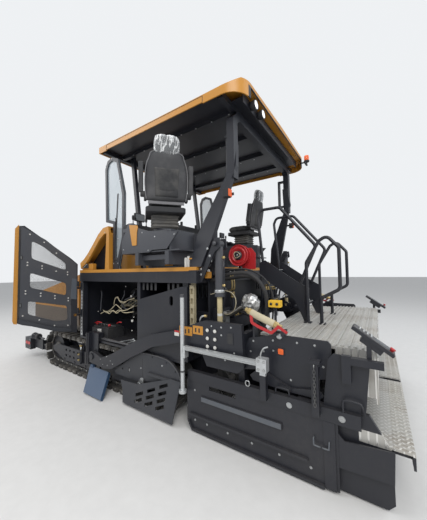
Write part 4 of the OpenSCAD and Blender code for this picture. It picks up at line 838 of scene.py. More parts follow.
def seat_finishes():
    """Cloth of the seats and the clear film round their headrests."""
    f = Finish("woven seat cloth")
    w1 = f.sum("PINGPONG", f.sum("MULTIPLY", f.sum("ADD", f.y, f.x), 260.0), 1.0)
    w2 = f.sum("PINGPONG", f.sum("MULTIPLY", f.z, 260.0), 1.0)
    weave = f.sum("MULTIPLY", w1, w2)
    cloud = f.step(f.noise(4.0, 6.0, 0.65), 0.4, 0.72)
    tone = f.mix(cloud, (0.030, 0.031, 0.034), (0.085, 0.083, 0.08))
    M["fabric"] = f.use((tone, 0.85, 0.0, weave), 0.35, 0.001)
    f = Finish("grained seat back cloth")
    cloud = f.step(f.noise(3.0, 6.0, 0.6), 0.4, 0.7)
    grain = f.noise(320.0, 3.0)
    M["back"] = f.use((f.mix(cloud, (0.034, 0.035, 0.039), (0.075, 0.075, 0.078)), 0.66, 0.0, grain), 0.3,
        0.001)
    f = Finish("clear wrapping film")
    waves = f.noise(8.0, 4.0, 0.6, (1.0, 1.0, 0.4))
    crumple = f.step(f.sum("ABSOLUTE", f.sum("SUBTRACT", waves, 0.5)), 0.0, 0.05, 1.0, 0.0)
    edge = f.node("ShaderNodeLayerWeight")
    edge.inputs["Blend"].default_value = 0.35
    crease = f.sum("MULTIPLY", crumple, 0.45)
    alpha = f.sum("ADD", f.sum("ADD", f.sum("MULTIPLY", edge.outputs["Facing"], 0.5), 0.26), crease,
        clamp=True)
    M["film"] = f.use((f.mix(crumple, (0.5, 0.52, 0.54), (0.92, 0.94, 0.95)), 0.12, 0.0, crumple), 0.9, 0.006)
    f.put(alpha, f.shader.inputs["Alpha"])


# Canopy and lamps

ROOF_X0, ROOF_Z = -1.89, 3.503


def lamp_finishes():
    """Ribbed orange and red lenses and fluted clear glass; orange and clear glow a little."""
    f = Finish("orange lens")
    rib = f.sum("PINGPONG", f.sum("MULTIPLY", f.z, 150.0), 1.0)
    M["orange"] = f.use((f.mix(f.noise(20.0), (0.55, 0.07, 0.010), (0.75, 0.14, 0.02)), 0.16, 0.0, rib), 0.3)
    f.put(f.mix(f.noise(9.0), (0.9, 0.12, 0.02), (1.0, 0.2, 0.05)), f.shader.inputs["Emission Color"])
    f.shader.inputs["Emission Strength"].default_value = 0.08
    f = Finish("red lens")
    rib = f.sum("PINGPONG", f.sum("MULTIPLY", f.z, 150.0), 1.0)
    M["red_lens"] = f.use((f.mix(f.noise(20.0), (0.35, 0.008, 0.008), (0.6, 0.02, 0.02)), 0.15, 0.0, rib),
        0.3)
    f = Finish("fluted lamp glass")
    flute = f.sum("PINGPONG", f.sum("MULTIPLY", f.y, 90.0), 1.0)
    M["lens"] = f.use((f.mix(flute, (0.86, 0.88, 0.90), (0.97, 0.98, 1.0)), 0.08, 0.0, flute), 0.4)
    f.put(f.mix(flute, (0.9, 0.93, 0.96), (1.0, 1.0, 1.0)), f.shader.inputs["Emission Color"])
    f.shader.inputs["Emission Strength"].default_value = 0.45


def lamps():
    """The beacon on its fins, the marker lamps on the posts and the two work lamps under the roof's rear
    edge."""
    beacon = (ROOF_X0 - 0.06, -1.173, 0)
    dome = lathe([(0.038, ROOF_Z + .132), (0.041, ROOF_Z + .14), (0.041, ROOF_Z + .205),
        (0.036, ROOF_Z + .223), (0.02, ROOF_Z + .23), (0.0, ROOF_Z + .23)], beacon, "z", 36)
    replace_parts(lone("beacon_lens", dome, "orange", smooth=True), "lamps")
    base = lathe([(0.012, ROOF_Z + .062), (0.012, ROOF_Z + .10), (0.046, ROOF_Z + .108),
        (0.049, ROOF_Z + .116), (0.049, ROOF_Z + .126), (0.044, ROOF_Z + .133), (0.0, ROOF_Z + .133)], beacon,
        "z", 36)
    fins = [block(ROOF_X0 - .075, ROOF_X0 + .003, -1.053, -1.023, ROOF_Z + .042, ROOF_Z + .06),
        block(ROOF_X0 - .075, ROOF_X0 - .045, -1.188, -1.05, ROOF_Z + .042, ROOF_Z + .06)]
    lone("beacon_base", gather([base] + fins), "plastic", soft=.002)
    for side, s in (("left", 1), ("right", -1)):
        y0, y1 = sorted((1.126 * s, 1.205 * s))
        lone("marker_case_" + side, block(-1.676, -1.610, y0, y1, 2.437, 2.528), "plastic", soft=.006)
        face = block(-1.686, -1.676, y0 + .006, y1 - .006, 2.443, 2.522)
        lone("marker_lens_" + side, face, "orange", soft=.004)
        arm = block(-1.70, -1.56, *sorted((1.1103 * s, 1.125 * s)), 2.466, 2.496)
        lone("marker_bracket_" + side, arm, "plastic", soft=.003)
    x = ROOF_X0 + 0.02
    glass_r = 0.0472
    for i, y in enumerate((0.85, 0.64)):
        at = (0, y, ROOF_Z + 0.05)
        cup = lathe([(0.0, x + .0755), (0.04, x + .0755), (0.05, x + .05), (0.055, x + .012),
            (0.055, x + .001), (0.048, x + .001), (0.047, x + .01), (0.0, x + .01)], at, "x", 40)
        lone(f"work_lamp_cup_{i}", cup, "plastic", smooth=True)
        r = np.linspace(0, glass_r, 9)[::-1]
        face = lathe(np.c_[r, x + 0.003 - 0.0025 * np.cos(r / glass_r * np.pi / 2)], at, "x", 40)
        lone(f"work_lamp_lens_{i}", face, "lens", smooth=True)


def roof_trim():
    """The dark joint line of the roof's side flap, and the bolts under the canopy."""
    line = []
    for s in (1, -1):
        y0, y1 = sorted((1.2832 * s, 1.2846 * s))
        line.append(block(ROOF_X0 + .47, 0.389, y0, y1, ROOF_Z + .079, ROOF_Z + .085))
        line.append(block(ROOF_X0 + .47, ROOF_X0 + .476, y0, y1, ROOF_Z + .014, ROOF_Z + .085))
        line.append(block(0.383, 0.389, y0, y1, ROOF_Z + .014, ROOF_Z + .085))
    lone("roof_joint_lines", gather(line), "plastic")
    spots = [(x, s * y, ROOF_Z + 0.0118) for x in np.linspace(-1.55, 0.45, 9) for y in (0.93, 0.33)
        for s in (1, -1)]
    lone("canopy_bolts", copies(turned(bolt("z", 0.009, 0.006), 180, "x", (0, 0, 0)), spots), "zinc")


# Engine doors

DOOR_HINGE = (1.113, 1.306, 0)
DOOR_OPEN = -103.0


def door_spot(part, side):
    """From the closed door to its open place: a turn about the hinge, mirrored for the right."""
    part = turned(part, DOOR_OPEN, "z", DOOR_HINGE)
    return part if side == "left" else mirrored(part)


DOOR_SKIN = [[(.343, .960), (.403, .930), (.433, .920), (.433, 2.327), (.403, 2.350), (.343, 2.340)],
             [(1.011, .730), (1.101, .700), (1.101, 1.800), (1.011, 1.883)],
             [(.433, .920), (1.011, .730), (1.011, .830), (.433, 1.010)],
             [(.433, 1.280), (1.011, 1.150), (1.011, 1.220), (.433, 1.350)],
             [(.433, 1.700), (1.011, 1.490), (1.011, 1.565), (.433, 1.780)],
             [(.433, 2.250), (1.011, 1.760), (1.011, 1.883), (.993, 1.9), (.433, 2.327)]]
WINDOWS = [((.433, 1.010), (1.011, .830), (1.011, 1.150), (.433, 1.280)),
           ((.433, 1.350), (1.011, 1.220), (1.011, 1.490), (.433, 1.700)),
           ((.433, 1.780), (1.011, 1.565), (1.011, 1.760), (.433, 2.250))]


def wires(corners, y, pitch=0.013, r=0.0011):
    """A wire net in a four-sided window: straight wires between its facing sides, the two sets a wire
    apart."""
    a, b, c, d = (np.array(p) for p in corners)
    out = []
    for p0, p1, q0, q1, off in ((a, b, d, c, 0.0), (a, d, b, c, 0.0018)):
        n = int(max(np.linalg.norm(p1 - p0), np.linalg.norm(q1 - q0)) / pitch)
        t = (np.arange(n) + 0.5)[:, None] / n
        s, e = p0 + (p1 - p0) * t, q0 + (q1 - q0) * t
        d3 = np.stack([e[:, 0] - s[:, 0], 0 * e[:, 0], e[:, 1] - s[:, 1]], -1)
        d3 /= np.linalg.norm(d3, axis=1, keepdims=True)
        side = np.cross(d3, (0, 1, 0)) * r
        up = np.array((0, r, 0))
        s3 = np.stack([s[:, 0], np.full(n, y + off), s[:, 1]], -1)
        e3 = np.stack([e[:, 0], np.full(n, y + off), e[:, 1]], -1)
        ring = np.stack([side, np.tile(up, (n, 1)), -side, np.tile(-up, (n, 1))], 1)
        pts = np.concatenate([s3[:, None] + ring, e3[:, None] + ring], 1).reshape(-1, 3)
        k = (np.arange(n) * 8)[:, None, None]
        q = np.array([[0, 1, 5, 4], [1, 2, 6, 5], [2, 3, 7, 6], [3, 0, 4, 7], [0, 3, 2, 1],
            [4, 5, 6, 7]])[None]
        out.append((pts, (k + q).reshape(-1, 4).tolist()))
    return gather(out)


def fillet(corners, r, n=5):
    """A closed outline with each corner rounded: the curve (1-t)^2 A + 2 t (1-t) P + t^2 B between the points
    A and B that lie r from the corner P on its two sides."""
    p = np.array(corners, float)
    a, b = np.roll(p, 1, 0) - p, np.roll(p, -1, 0) - p
    a = p + a / np.linalg.norm(a, axis=1, keepdims=True) * r
    b = p + b / np.linalg.norm(b, axis=1, keepdims=True) * r
    t = np.linspace(0, 1, n)[None, :, None]
    return ((1 - t) ** 2 * a[:, None] + 2 * t * (1 - t) * p[:, None] + t ** 2 * b[:, None]).reshape(-1, 2)


def framed(outer, inner, low, high):
    """A flat frame across Y between two outlines of as many points: its two faces and its two walls."""
    n = len(outer)
    flat = np.concatenate([outer, inner])
    pts = np.concatenate([np.c_[flat[:, 0], np.full(2 * n, y), flat[:, 1]] for y in (low, high)])
    i = np.arange(n)
    j = (i + 1) % n
    near = np.stack([i, j, n + j, n + i], 1)
    far = near[:, ::-1] + 2 * n
    out = np.stack([i, 2 * n + i, 2 * n + j, j], 1)
    hole = np.stack([n + i, n + j, 3 * n + j, 3 * n + i], 1)
    return pts, np.concatenate([near, far, out, hole]).tolist()


DOOR_CELLS = [([(.352, 1.79), (1.086, 1.57), (1.086, 1.80), (.66, 2.165), (.352, 2.345)],
               [(.486, 1.875), (.93, 1.70), (.93, 1.81), (.62, 2.07), (.486, 2.14)]),
              ([(.352, 1.37), (1.086, 1.24), (1.086, 1.57), (.352, 1.79)],
               [(.475, 1.455), (.94, 1.305), (.94, 1.50), (.475, 1.675)]),
              ([(.352, .985), (.80, .795), (1.005, .75), (1.005, 1.2557), (.352, 1.37)],
               [(.455, 1.075), (.80, .925), (.965, .925), (.955, 1.15), (.455, 1.268)])]


def doors():
    """The opened engine doors: yellow skin and edge, wire net, pressed inner frame, tray, bolts, latches and
    hinge."""
    inner_face = 1.2862
    skin = [plate(o, "y", 1.3303, 1.3338) for o in DOOR_SKIN]
    edge = [(.292, .99), (.306, .955), (.3425, .945), (.3425, 2.352), (.338, 2.36), (.298, 2.30)]
    skin.append(plate(edge, "y", 1.31, 1.3338))
    cells = [(fillet(o, .003), fillet(w, .042)) for o, w in DOOR_CELLS]
    low = [(.352, .975), (.80, .79), (1.0, .752)]
    tray = [plate(low + [(x, z - .008) for x, z in low[::-1]], "y", 1.235, 1.2898),
        plate(low + [(x, z + .05) for x, z in low[::-1]], "y", 1.232, 1.235)]
    spots = [(x, z + d) for x, z in ((.445, 1.80), (.62, 1.75), (.955, 1.655), (.43, 1.39), (.61, 1.345),
        (.79, 1.295), (.97, 1.245)) for d in (.02, -.02)]
    spots += [(.80, 1.69), (.403, 1.06), (.598, .975), (.79, .865), (.97, .84), (.467, 2.23), (.64, 2.125),
        (.80, 1.97)]
    head = lathe([(.0105, 0), (.0105, -.001), (.0085, -.001), (.0085, -.0042), (.007, -.005)], (0, 0, 0), "y",
        6)
    latch_z = (1.21, 1.885)
    latch = plate(rounded(.017, .03, .008), "y", 1.2815, inner_face)
    grip = [pipe([(.372, 1.2835, z - .02), (.372, 1.282, z - .01), (.372, 1.282, z + .01),
        (.372, 1.2835, z + .02)], .0035, 6, 8) for z in latch_z]
    hinge = [plate([(1.0, 1.25), (1.086, 1.235), (1.086, 1.56), (1.02, 1.575)], "y", 1.2818, inner_face),
        plate([(1.0, 1.40), (1.086, 1.40), (1.086, 1.41), (1.0, 1.41)], "y", 1.2805, 1.2818)]
    rim = [tube(np.c_[w[:, 0], np.full(len(w), 1.2858), w[:, 1]], .0042, 6, closed=True) for _, w in cells]
    pieces = [
        ("skin", gather(skin), "yellow", {}),
        ("mesh", gather([wires(w, 1.314) for w in WINDOWS]), "plastic", {}),
        ("frame", gather([framed(o, w, inner_face, 1.2898) for o, w in cells]), "grey", {}),
        ("window_lips", gather(rim), "grey", {"smooth": True}),
        ("tray", gather(tray), "covers", {}),
        ("bolts", copies(head, [(x, inner_face, z) for x, z in spots]), "label", {"slot": "galvanised"}),
        ("latch", copies(latch, [(.372, 0, z) for z in latch_z]), "plastic", {"soft": .004}),
        ("latch_grips", gather(grip), "zinc", {"smooth": True}),
        ("hinge_plates", gather(hinge), "hinge", {"soft": .002}),
        ("seal", pipe(at_y(1.286, [(.358, .985), (.358, 1.6), (.358, 2.33)]), .006, 12, 8), "hose",
         {"smooth": True})]
    for side in ("left", "right"):
        for name, part, mat, finish in pieces:
            lone(f"door_{name}_{side}", door_spot(part, side), mat, "door_" + side, **finish)


# Hoses and cables

def hose(name, points, diameter, body, mat="hose", sides=10, bend=None):
    """A hose along a smooth line through the points. Where bend, a start and an end point, is given, the
    hose's placing is only baked into its mesh."""
    line = through(points, 8)
    o = show(name, *tube(line, diameter / 2, sides), M[mat], body, "hose_rubber")
    if bend:
        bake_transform(o)
    length = float(np.linalg.norm(np.diff(line, axis=0), axis=1).sum())


# Small parts

SIDED = {"door", "wing", "console", "screed_extension", "rod", "barrel", "swivel_seat"}
# a slot name for each finish, where a piece names no other
SLOT_OF = {
    "zinc": "galvanised", "tread": "galvanised", "foil": "galvanised", "plastic": "black_plastic",
    "dark": "dark_paint", "yellow": "yellow_paint", "bright_yellow": "yellow_paint", "grey": "grey_paint",
    "hinge": "grey_paint", "covers": "grey_paint", "label": "clear_lens", "dark_glass": "clear_lens",
    "lens": "clear_lens", "gold": "worn_steel", "worn": "worn_steel", "cast": "cast_grey",
    "hose": "hose_rubber", "cream": "hose_rubber", "red": "reel_red", "orange": "orange_lens",
    "red_lens": "red_lens",
}


def lone(name, part, mat, body="tractor", slot=None, smooth=False, soft=0.0):
    """One piece in a finish, its edges rounded where soft is given."""
    o = show(name, *part, M[mat], body, slot or SLOT_OF[mat], smooth)
    return soften(o, soft) if soft else o


def pair(name, part, mat, body="tractor", slot=None, smooth=False, soft=0.0):
    """A piece on the left side and its mirror image on the right; one object where both ride the same
    body."""
    if body not in SIDED:
        return [lone(name, gather([part, mirrored(part)]), mat, body, slot, smooth, soft)]
    return [lone(f"{name}_{side}", p, mat, f"{body}_{side}", slot, smooth, soft)
        for side, p in (("left", part), ("right", mirrored(part)))]


def heads(spots, axis="y", radius=0.009, high=0.006, sides=6):
    """Bolt heads of one size at the places; a negative height points them the other way."""
    return copies(bolt(axis, radius, high, sides), spots)


def side_heads(y, spots, radius=0.009, high=0.006, sides=6):
    """Bolt heads on a face square to Y, at places given by X and Z."""
    return heads([(x, y, z) for x, z in spots], "y", radius, high, sides)


def at_y(y, spots):
    """Points at one Y from (x, z) places."""
    return [(x, y, z) for x, z in spots]


def pipe(points, radius, per=8, sides=10, ridges=0.0):
    return tube(through(points, per), radius, sides, ridges)


def link(centre, half, radius, wire, axis, turns=28):
    """A chain link: a wire carried round two half circles joined by straight sides."""
    a = np.linspace(0, 2 * np.pi, turns, endpoint=False)
    i, j, _ = AXES[axis]
    p = np.zeros((turns, 3))
    p[:, i] = radius * np.cos(a)
    p[:, j] = radius * np.sin(a) + half * np.sign(np.sin(a))
    return tube(p + np.asarray(centre, float), wire, 7, closed=True)


# Tracks

REAR, FRONT, HUB, CHAIN = -0.74, 2.02, 0.30, 0.245
SPAN = FRONT - REAR
LOOP = 2 * SPAN + 2 * math.pi * CHAIN
SHOES = 44


def on_track(shift, out):
    """Place and outward angle of every shoe: s runs forward on the ground, round the idler, back on top and
    round the sprocket; the place lies outside the chain line by out."""
    s = (np.arange(SHOES) + 0.5 + shift) * LOOP / SHOES % LOOP
    arc = math.pi * CHAIN
    where = [s < SPAN, s < SPAN + arc, s < 2 * SPAN + arc]
    a = np.select(where, [0 * s - 90, (s - SPAN) / arc * 180 - 90, 0 * s + 90],
        (s - 2 * SPAN - arc) / arc * 180 + 90)
    x = np.select(where, [REAR + s, 0 * s + FRONT, FRONT - (s - SPAN - arc)], REAR)
    t = np.radians(a)
    return np.c_[x + (CHAIN + out) * np.cos(t), HUB + (CHAIN + out) * np.sin(t)], a


def track_parts():
    """Link plates, pins and bolts of the shoes round each track, and the idlers' hubs."""
    pins, _ = on_track(0.5, -0.016)
    ends, _ = on_track(0.0, 0.012)
    mid, angle = on_track(0.0, -0.016)
    pin = lathe([(0.0, 0.0), (0.019, 0.0), (0.019, 0.008), (0.012, 0.014), (0.0, 0.014)], (0, 0, 0), "y", 14)
    outline = plate(rounded(0.074, 0.024, 0.022), "y", 1.1857, 1.193)
    plates = [turned(moved(outline, (x, 0, z)), 90 - a, "y", (x, 0, z)) for (x, z), a in zip(mid, angle)]
    pair("track_link_plates", gather(plates), "cast", slot="dark_paint")
    pair("track_link_pins", copies(pin, [(x, 1.193, z) for x, z in pins]), "worn", smooth=True)
    pair("shoe_end_bolts", heads([(x, 1.2801, z) for x, z in ends], radius=0.011, high=0.007), "worn")
    hub = lathe([(0.0, 1.236), (0.05, 1.236), (0.058, 1.228), (0.06, 1.2), (0.09, 1.19), (0.1, 1.17),
        (0.0, 1.17)], (FRONT, 0, HUB), "y", 36)
    pair("idler_hubs", hub, "cast", smooth=True)


COVER = 1.2912


def cover_parts():
    """Opening, joint, bolts and tow eye of the cover over the sprocket, and the folded pale edge of its
    rim."""
    hole = plate(rounded(0.018, 0.034, 0.016), "y", COVER, COVER + 0.0006)
    pair("cover_opening", moved(hole, (-0.176, 0, 0.374)), "plastic", slot="dark_paint")
    # a small zinc sliver in the dark opening: a painted glint on its inner edge
    glint = plate(rounded(0.006, 0.018, 0.005), "y", COVER + 0.0006, COVER + 0.003)
    pair("cover_opening_painted_glint", moved(glint, (-0.184, 0, 0.372)), "zinc")
    pair("cover_joint", block(-0.444, -0.438, COVER - 0.0004, COVER + 0.0006, 0.295, 0.56), "plastic",
        slot="dark_paint")
    pair("cover_bolts", side_heads(COVER, ((-.412, .443), (-.412, .31), (-.79, .545)), radius=0.009,
        high=0.007), "zinc")
    t = np.linspace(0, 2 * np.pi, 24, endpoint=False)
    eye = tube(np.c_[-.385 + .026 * np.cos(t), np.full(24, 1.303), .236 + .022 * np.sin(t)], .007, 8,
        closed=True)
    tab = plate([(-.40, .262), (-.36, .262), (-.43, .33), (-.47, .33), (-.47, .27)], "y", COVER, COVER + .012)
    pair("cover_tow_eye", gather([eye, tab]), "zinc")
    rim = pipe(at_y(1.300, [(-.18, .633), (-.36, .640), (-.79, .640), (-.95, .600), (-1.06, .50),
        (-1.085, .405)]), 0.0065, 8, 8)
    pair("rim_edge_bead", rim, "grey", smooth=True)
    studs = [(x, 1.2955, z) for x, z in ((-.30, .615), (-.62, .615), (-.86, .595), (-1.0, .52))]
    pair("rim_bolts", heads(studs, radius=0.008), "dark")


# Hull, platform and bay

PANEL_FACE = 1.2411


def hull_parts():
    """Perforated strip, plates, slots and bolts of the side panels, and the levelling cylinder at the tow
    point."""
    strip = block(1.043, 1.098, 1.2602, 1.2635, .66, 1.50)
    pair("post_strip", strip, "zinc")
    hole = lathe([(0.0, 0), (0.012, 0), (0.012, 0.0008), (0.0, 0.0008)], (0, 0, 0), "y", 14)
    pair("post_strip_holes", copies(hole, [(1.07, 1.2635, z) for z in np.arange(.70, 1.48, .052)]), "plastic",
        slot="dark_paint")
    pair("panel_plates", gather([block(-1.0, -.937, 1.2412, 1.2424, 1.273, 1.333),
        block(-1.027, -.926, 1.2412, 1.2424, .914, .958)]), "label")
    grille = [block(-1.02 + .075 * i, -.985 + .075 * i, 1.2410, 1.2416, 1.425, 1.515) for i in range(9)
        if i not in (3, 4)]
    pair("panel_grille_slots", gather(grille), "plastic", slot="dark_paint")
    pair("panel_plate_orange", block(-1.027, -.926, 1.2412, 1.2424, .9585, .993), "yellow")
    pair("panel_bolts", side_heads(PANEL_FACE, ((-.36, 1.24), (-.36, .95), (-.36, .69), (-1.09, 1.42),
        (-1.09, 1.05), (-1.09, .69)), radius=.008, high=.006), "dark")
    pair("band_bolts", heads([(x, 1.2801, 1.60) for x in np.arange(-1.2, 1.05, .28)], radius=.008, high=.001),
        "dark")
    pair("arm_end_bolts", side_heads(ARM_FACE, ((.238, .486), (.389, .422), (.148, .445), (.22, .369),
        (.33, .36), (.10, .41)), radius=.007, high=.006), "zinc", "screed")
    pair("platform_corner_strip", block(-1.36, -1.20, 1.2802, 1.2825, 1.66, 1.668), "plastic",
        slot="dark_paint")
    # the levelling cylinder's barrel, gland and rod eye stand on one upright axis
    at = (.985, 1.312, 0)
    pair("levelling_barrel", lathe([(.0, .255), (.026, .255), (.03, .262), (.03, .40), (.034, .404),
        (.034, .428), (.03, .432), (.0, .432)], at, "z", 24), "dark", smooth=True)
    pair("levelling_rod", lathe([(.0, .43), (.016, .43), (.016, .50), (.0, .50)], at, "z", 20), "zinc",
        smooth=True)
    pair("levelling_fittings", gather([
        lathe([(.0, .50), (.022, .50), (.024, .506), (.024, .52), (.018, .53), (.0, .53)], at, "z", 18)]
        + [lathe([(.0, .0), (.014, .0), (.014, .02), (.01, .024), (.0, .024)], (.985, 1.338, z), "y", 6)
           for z in (.30, .385)]), "gold")
    pair("levelling_bracket", gather([block(.95, 1.02, 1.20, 1.335, .53, .54),
        block(.955, 1.015, 1.20, 1.212, .54, .614), block(.96, 1.01, 1.282, 1.34, .235, .257)]), "dark",
        soft=.002)
    pair("levelling_bracket_leg", block(.94, .958, 1.2825, 1.30, .235, .535), "dark")


def wavy(y, spots):
    """Points at the (x, z) places, every second one 12 mm further out."""
    return [(x, y + .012 * (i % 2), z) for i, (x, z) in enumerate(spots)]


def bay_parts():
    """What shows in the open engine bay: battery posts and label, engine ribs, looms, pipes, filter and
    caps."""
    lo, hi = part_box("battery_box")
    caps = [lathe([(.0, 0), (.022, 0), (.022, .02), (.016, .03), (.0, .03)], (x, 1.12, hi[2] - .006), "z", 16)
        for x in (.53, .85)]
    pair("battery_caps", gather(caps), "red", smooth=True)
    pair("battery_clamp_bar", block(lo[0] + .005, hi[0] - .005, 1.04, 1.065, hi[2] - .02, hi[2] - .008),
        "zinc", soft=.002)
    pair("battery_label", plate([(0.759, 0.775), (0.648, 0.788), (0.647, 0.706), (0.745, 0.693)], "y", 1.1802,
        1.1812), "label")
    lo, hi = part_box("engine_block")
    y = hi[1]
    ribs = [block(x, x + .03, y - .002, y + .022, lo[2] + .12, hi[2] - .12)
        for x in np.arange(lo[0] + .12, hi[0] - .1, .14)]
    pair("engine_ribs", gather(ribs), "cast", soft=.006)
    cover = block(lo[0] + .08, hi[0] - .08, -.16, .16, hi[2] - .004, hi[2] + .05)
    lone("engine_top_cover", cover, "cast", soft=.012)
    runs = []
    for k, (z, r) in enumerate(((hi[2] - .10, .019), (hi[2] - .22, .016), (lo[2] + .16, .022))):
        runs.append(pipe([(lo[0] + .06, y + .045, z - .05), (lo[0] + .2, y + .05, z),
            (hi[0] - .28, y + .05, z), (hi[0] - .12, y + .045, z - .07 - .02 * k),
            (hi[0] - .1, y - .005, z - .12)], r, 8, 12))
    pair("engine_pipes", gather(runs), "hose", smooth=True)
    loom = []
    for k in range(5):
        w = np.linspace(0, 1, 9)
        zz = 1.02 + .13 * w + .03 * np.sin(7 * w + 1.3 * k) + .018 * k
        yy = y + .062 + .012 * np.cos(9 * w + 2.1 * k) + .006 * k
        loom.append(pipe(np.c_[.95 - .62 * w, yy, zz], .0065, 5, 8))
    pair("engine_loom", gather(loom), "cream", smooth=True)
    ties = [lathe([(.036, -.005), (.04, -.004), (.04, .004), (.036, .005)], (x, y + .07, z), "x", 14)
        for x, z in ((.86, 1.07), (.7, 1.12), (.52, 1.13))]
    pair("loom_ties", gather(ties), "zinc", smooth=True)
    can = lathe([(.0, 0), (.05, 0), (.056, .008), (.056, .15), (.048, .165), (.05, .17), (.05, .19),
        (.0, .19)], (.16, y + .065, 1.02), "z", 28)
    pair("fuel_filter", can, "gold", smooth=True)
    pair("filter_bracket", block(.12, .20, y - .004, y + .03, 1.18, 1.24), "cast", soft=.004)
    caps = [lathe([(.0, 0), (.03, 0), (.034, .006), (.034, .022), (.026, .03), (.0, .03)], (x, y + .02, z),
        "y", 22) for x, z in ((.02, 1.32), (.0, .96))]
    pair("filler_caps", gather(caps), "label", smooth=True)
    pair("filler_necks", gather([block(x - .03, x + .03, y - .005, y + .021, z - .03, z + .03)
        for x, z in ((.02, 1.32), (.0, .96))]), "cast", soft=.004)
    pair("bay_sill_hoses", gather([pipe([(1.03, 1.22, .655), (.8, 1.225, .662), (.5, 1.222, .655),
        (.1, 1.225, .662), (-.26, 1.22, .655)], .0145, 8, 10), pipe([(1.03, 1.192, .655), (.7, 1.19, .66),
        (.3, 1.194, .655), (-.26, 1.19, .656)], .013, 8, 10)]), "grey", slot="hose_rubber", smooth=True)
    near = [(1.1, [(.807, .996), (.64, 1.047), (.563, 1.017), (.453, 1.075), (.38, 1.039), (.274, 1.082),
        (.143, 1.104), (-.035, 1.169)]), (1.08, [(.765, 1.054), (.647, 1.023), (.547, 1.057), (.414, 1.055),
        (.342, 1.086), (.195, 1.059), (.006, 1.086)]), (1.02, [(.544, 1.232), (.457, 1.265), (.406, 1.197),
        (.278, 1.193), (.209, 1.236), (.047, 1.272)]), (1.04, [(.538, 1.15), (.486, 1.252), (.434, 1.274),
        (.383, 1.23), (.311, 1.205), (.208, 1.219)]), (1.06, [(.304, 1.086), (.376, 1.137), (.462, 1.157),
        (.536, 1.098), (.649, 1.046), (.728, 1.027)])]
    pair("bay_loom", gather([pipe(wavy(*p), .0062, 6, 8) for p in near]), "cream", smooth=True)
    dim = [(1.06, [(.865, 1.366), (.819, 1.31), (.855, 1.176), (.849, 1.032)]),
        (1.0, [(.323, 1.379), (.317, 1.298), (.389, 1.224), (.349, 1.131), (.235, 1.083)]),
        (1.03, [(.04, 1.377), (.055, 1.338), (.153, 1.28), (.265, 1.235)])]
    pair("bay_dark_pipes", gather([pipe(wavy(*p), .009, 6, 8) for p in dim]), "grey", slot="hose_rubber",
        smooth=True)
    caps = [((0.098, 1.040, 1.303), 0.017), ((0.021, 1.080, 0.957), 0.019), ((0.290, 1.000, 1.439), 0.009),
        ((0.278, 1.090, 1.112), 0.006), ((0.867, 1.100, 1.028), 0.006), ((0.044, 1.050, 1.163), 0.007),
        ((0.035, 1.080, 0.814), 0.009), ((-0.004, 1.080, 1.010), 0.008)]
    pair("bay_caps", gather([lathe([(.0, 0), (r, 0), (r, r * .8), (r * .7, r * 1.1), (.0, r * 1.2)], c, "y",
        18) for c, r in caps]), "label", smooth=True)
    low = [(1.16, [(.789, .537), (.54, .557), (.354, .576), (.145, .605), (-.02, .67), (-.151, .717)]),
        (1.17, [(.759, .502), (.5, .532), (.295, .561), (.13, .59)]), (1.12,
        [(.528, .606), (.308, .621), (.114, .666), (-.081, .716)])]
    pair("bay_low_pipes", gather([pipe(wavy(*p), .013, 6, 10) for p in low]), "zinc", smooth=True)
    ends = [(1.15, [(.414, .604), (.329, .632), (.271, .634)]), (1.17,
        [(.21, .556), (.172, .603), (.158, .627)]), (1.135, [(.9, .843), (.803, .876), (.711, .867)]),
        (1.05, [(.44, .869), (.366, .899), (.322, .895)])]
    pair("bay_red_sleeves", gather([pipe(wavy(*p), .0085, 6, 8) for p in ends]), "red", smooth=True)


# Canopy and platform equipment

HOOD_FACE = 1.2761


def hood_parts():
    """Seams, vents, bolts, catch and grip of the hood, and the panel and foot under it."""
    top = [(.32, 2.345), (.47, 2.33), (.60, 2.245), (.76, 2.085), (.90, 1.955), (1.01, 1.875)]
    line = through([(x, 0, z + .001) for x, z in top], 10)
    seam = []
    for y in (-.62, .62):
        seam.append(tube(np.c_[line[:, 0], np.full(len(line), y), line[:, 2]], .004, 6))
    lone("hood_seams", gather(seam), "plastic", slot="dark_paint", smooth=True)
    slots = []
    for x, z, lean in ((.53, 2.2875, 43), (.68, 2.165, 43), (.83, 2.02, 42)):
        for y in np.arange(-.42, .43, .12):
            slot = block(x - .05, x + .05, y - .042, y + .042, z - .004, z + .006)
            slots.append(turned(slot, lean, "y", (x, 0, z)))
    lone("hood_vents", gather(slots), "plastic", slot="dark_paint", soft=.003)
    pair("hood_side_bolts", side_heads(HOOD_FACE, ((.42, 2.26), (.56, 2.19), (.70, 2.06), (.84, 1.93),
        (.96, 1.83)), radius=.008, high=.005), "zinc")
    inner = plate([(.345, 1.7056), (1.06, 1.7056), (1.06, 1.79), (1.0, 1.85), (.60, 2.19), (.345, 2.29)], "y",
        1.10, 1.103)
    pair("hood_inner_panel", inner, "dark")
    pair("hood_foot", block(.79, 1.098, 1.185, 1.25, 1.7055, 1.805), "yellow", soft=.006)
    pair("hood_catch", gather([block(.90, 1.03, 1.25, 1.268, 1.735, 1.80),
        block(.935, .995, 1.268, 1.276, 1.75, 1.785)]), "plastic", slot="dark_paint", soft=.003)
    pair("hood_catch_bolts", side_heads(1.276, ((.95, 1.775), (.98, 1.758), (.915, 1.79), (1.015, 1.745)),
        radius=.011, high=.004), "zinc")
    pair("hood_catch_button", lathe([(.0, 1.268), (.01, 1.268), (.01, 1.276), (.0, 1.278)], (1.015, 0, 1.787),
        "y", 14), "red", smooth=True)
    pair("hood_grip", pipe(at_y(.35, [(.66, 2.19), (.665, 2.235), (.71, 2.20), (.72, 2.14)]), .008, 6, 8),
        "plastic", smooth=True)


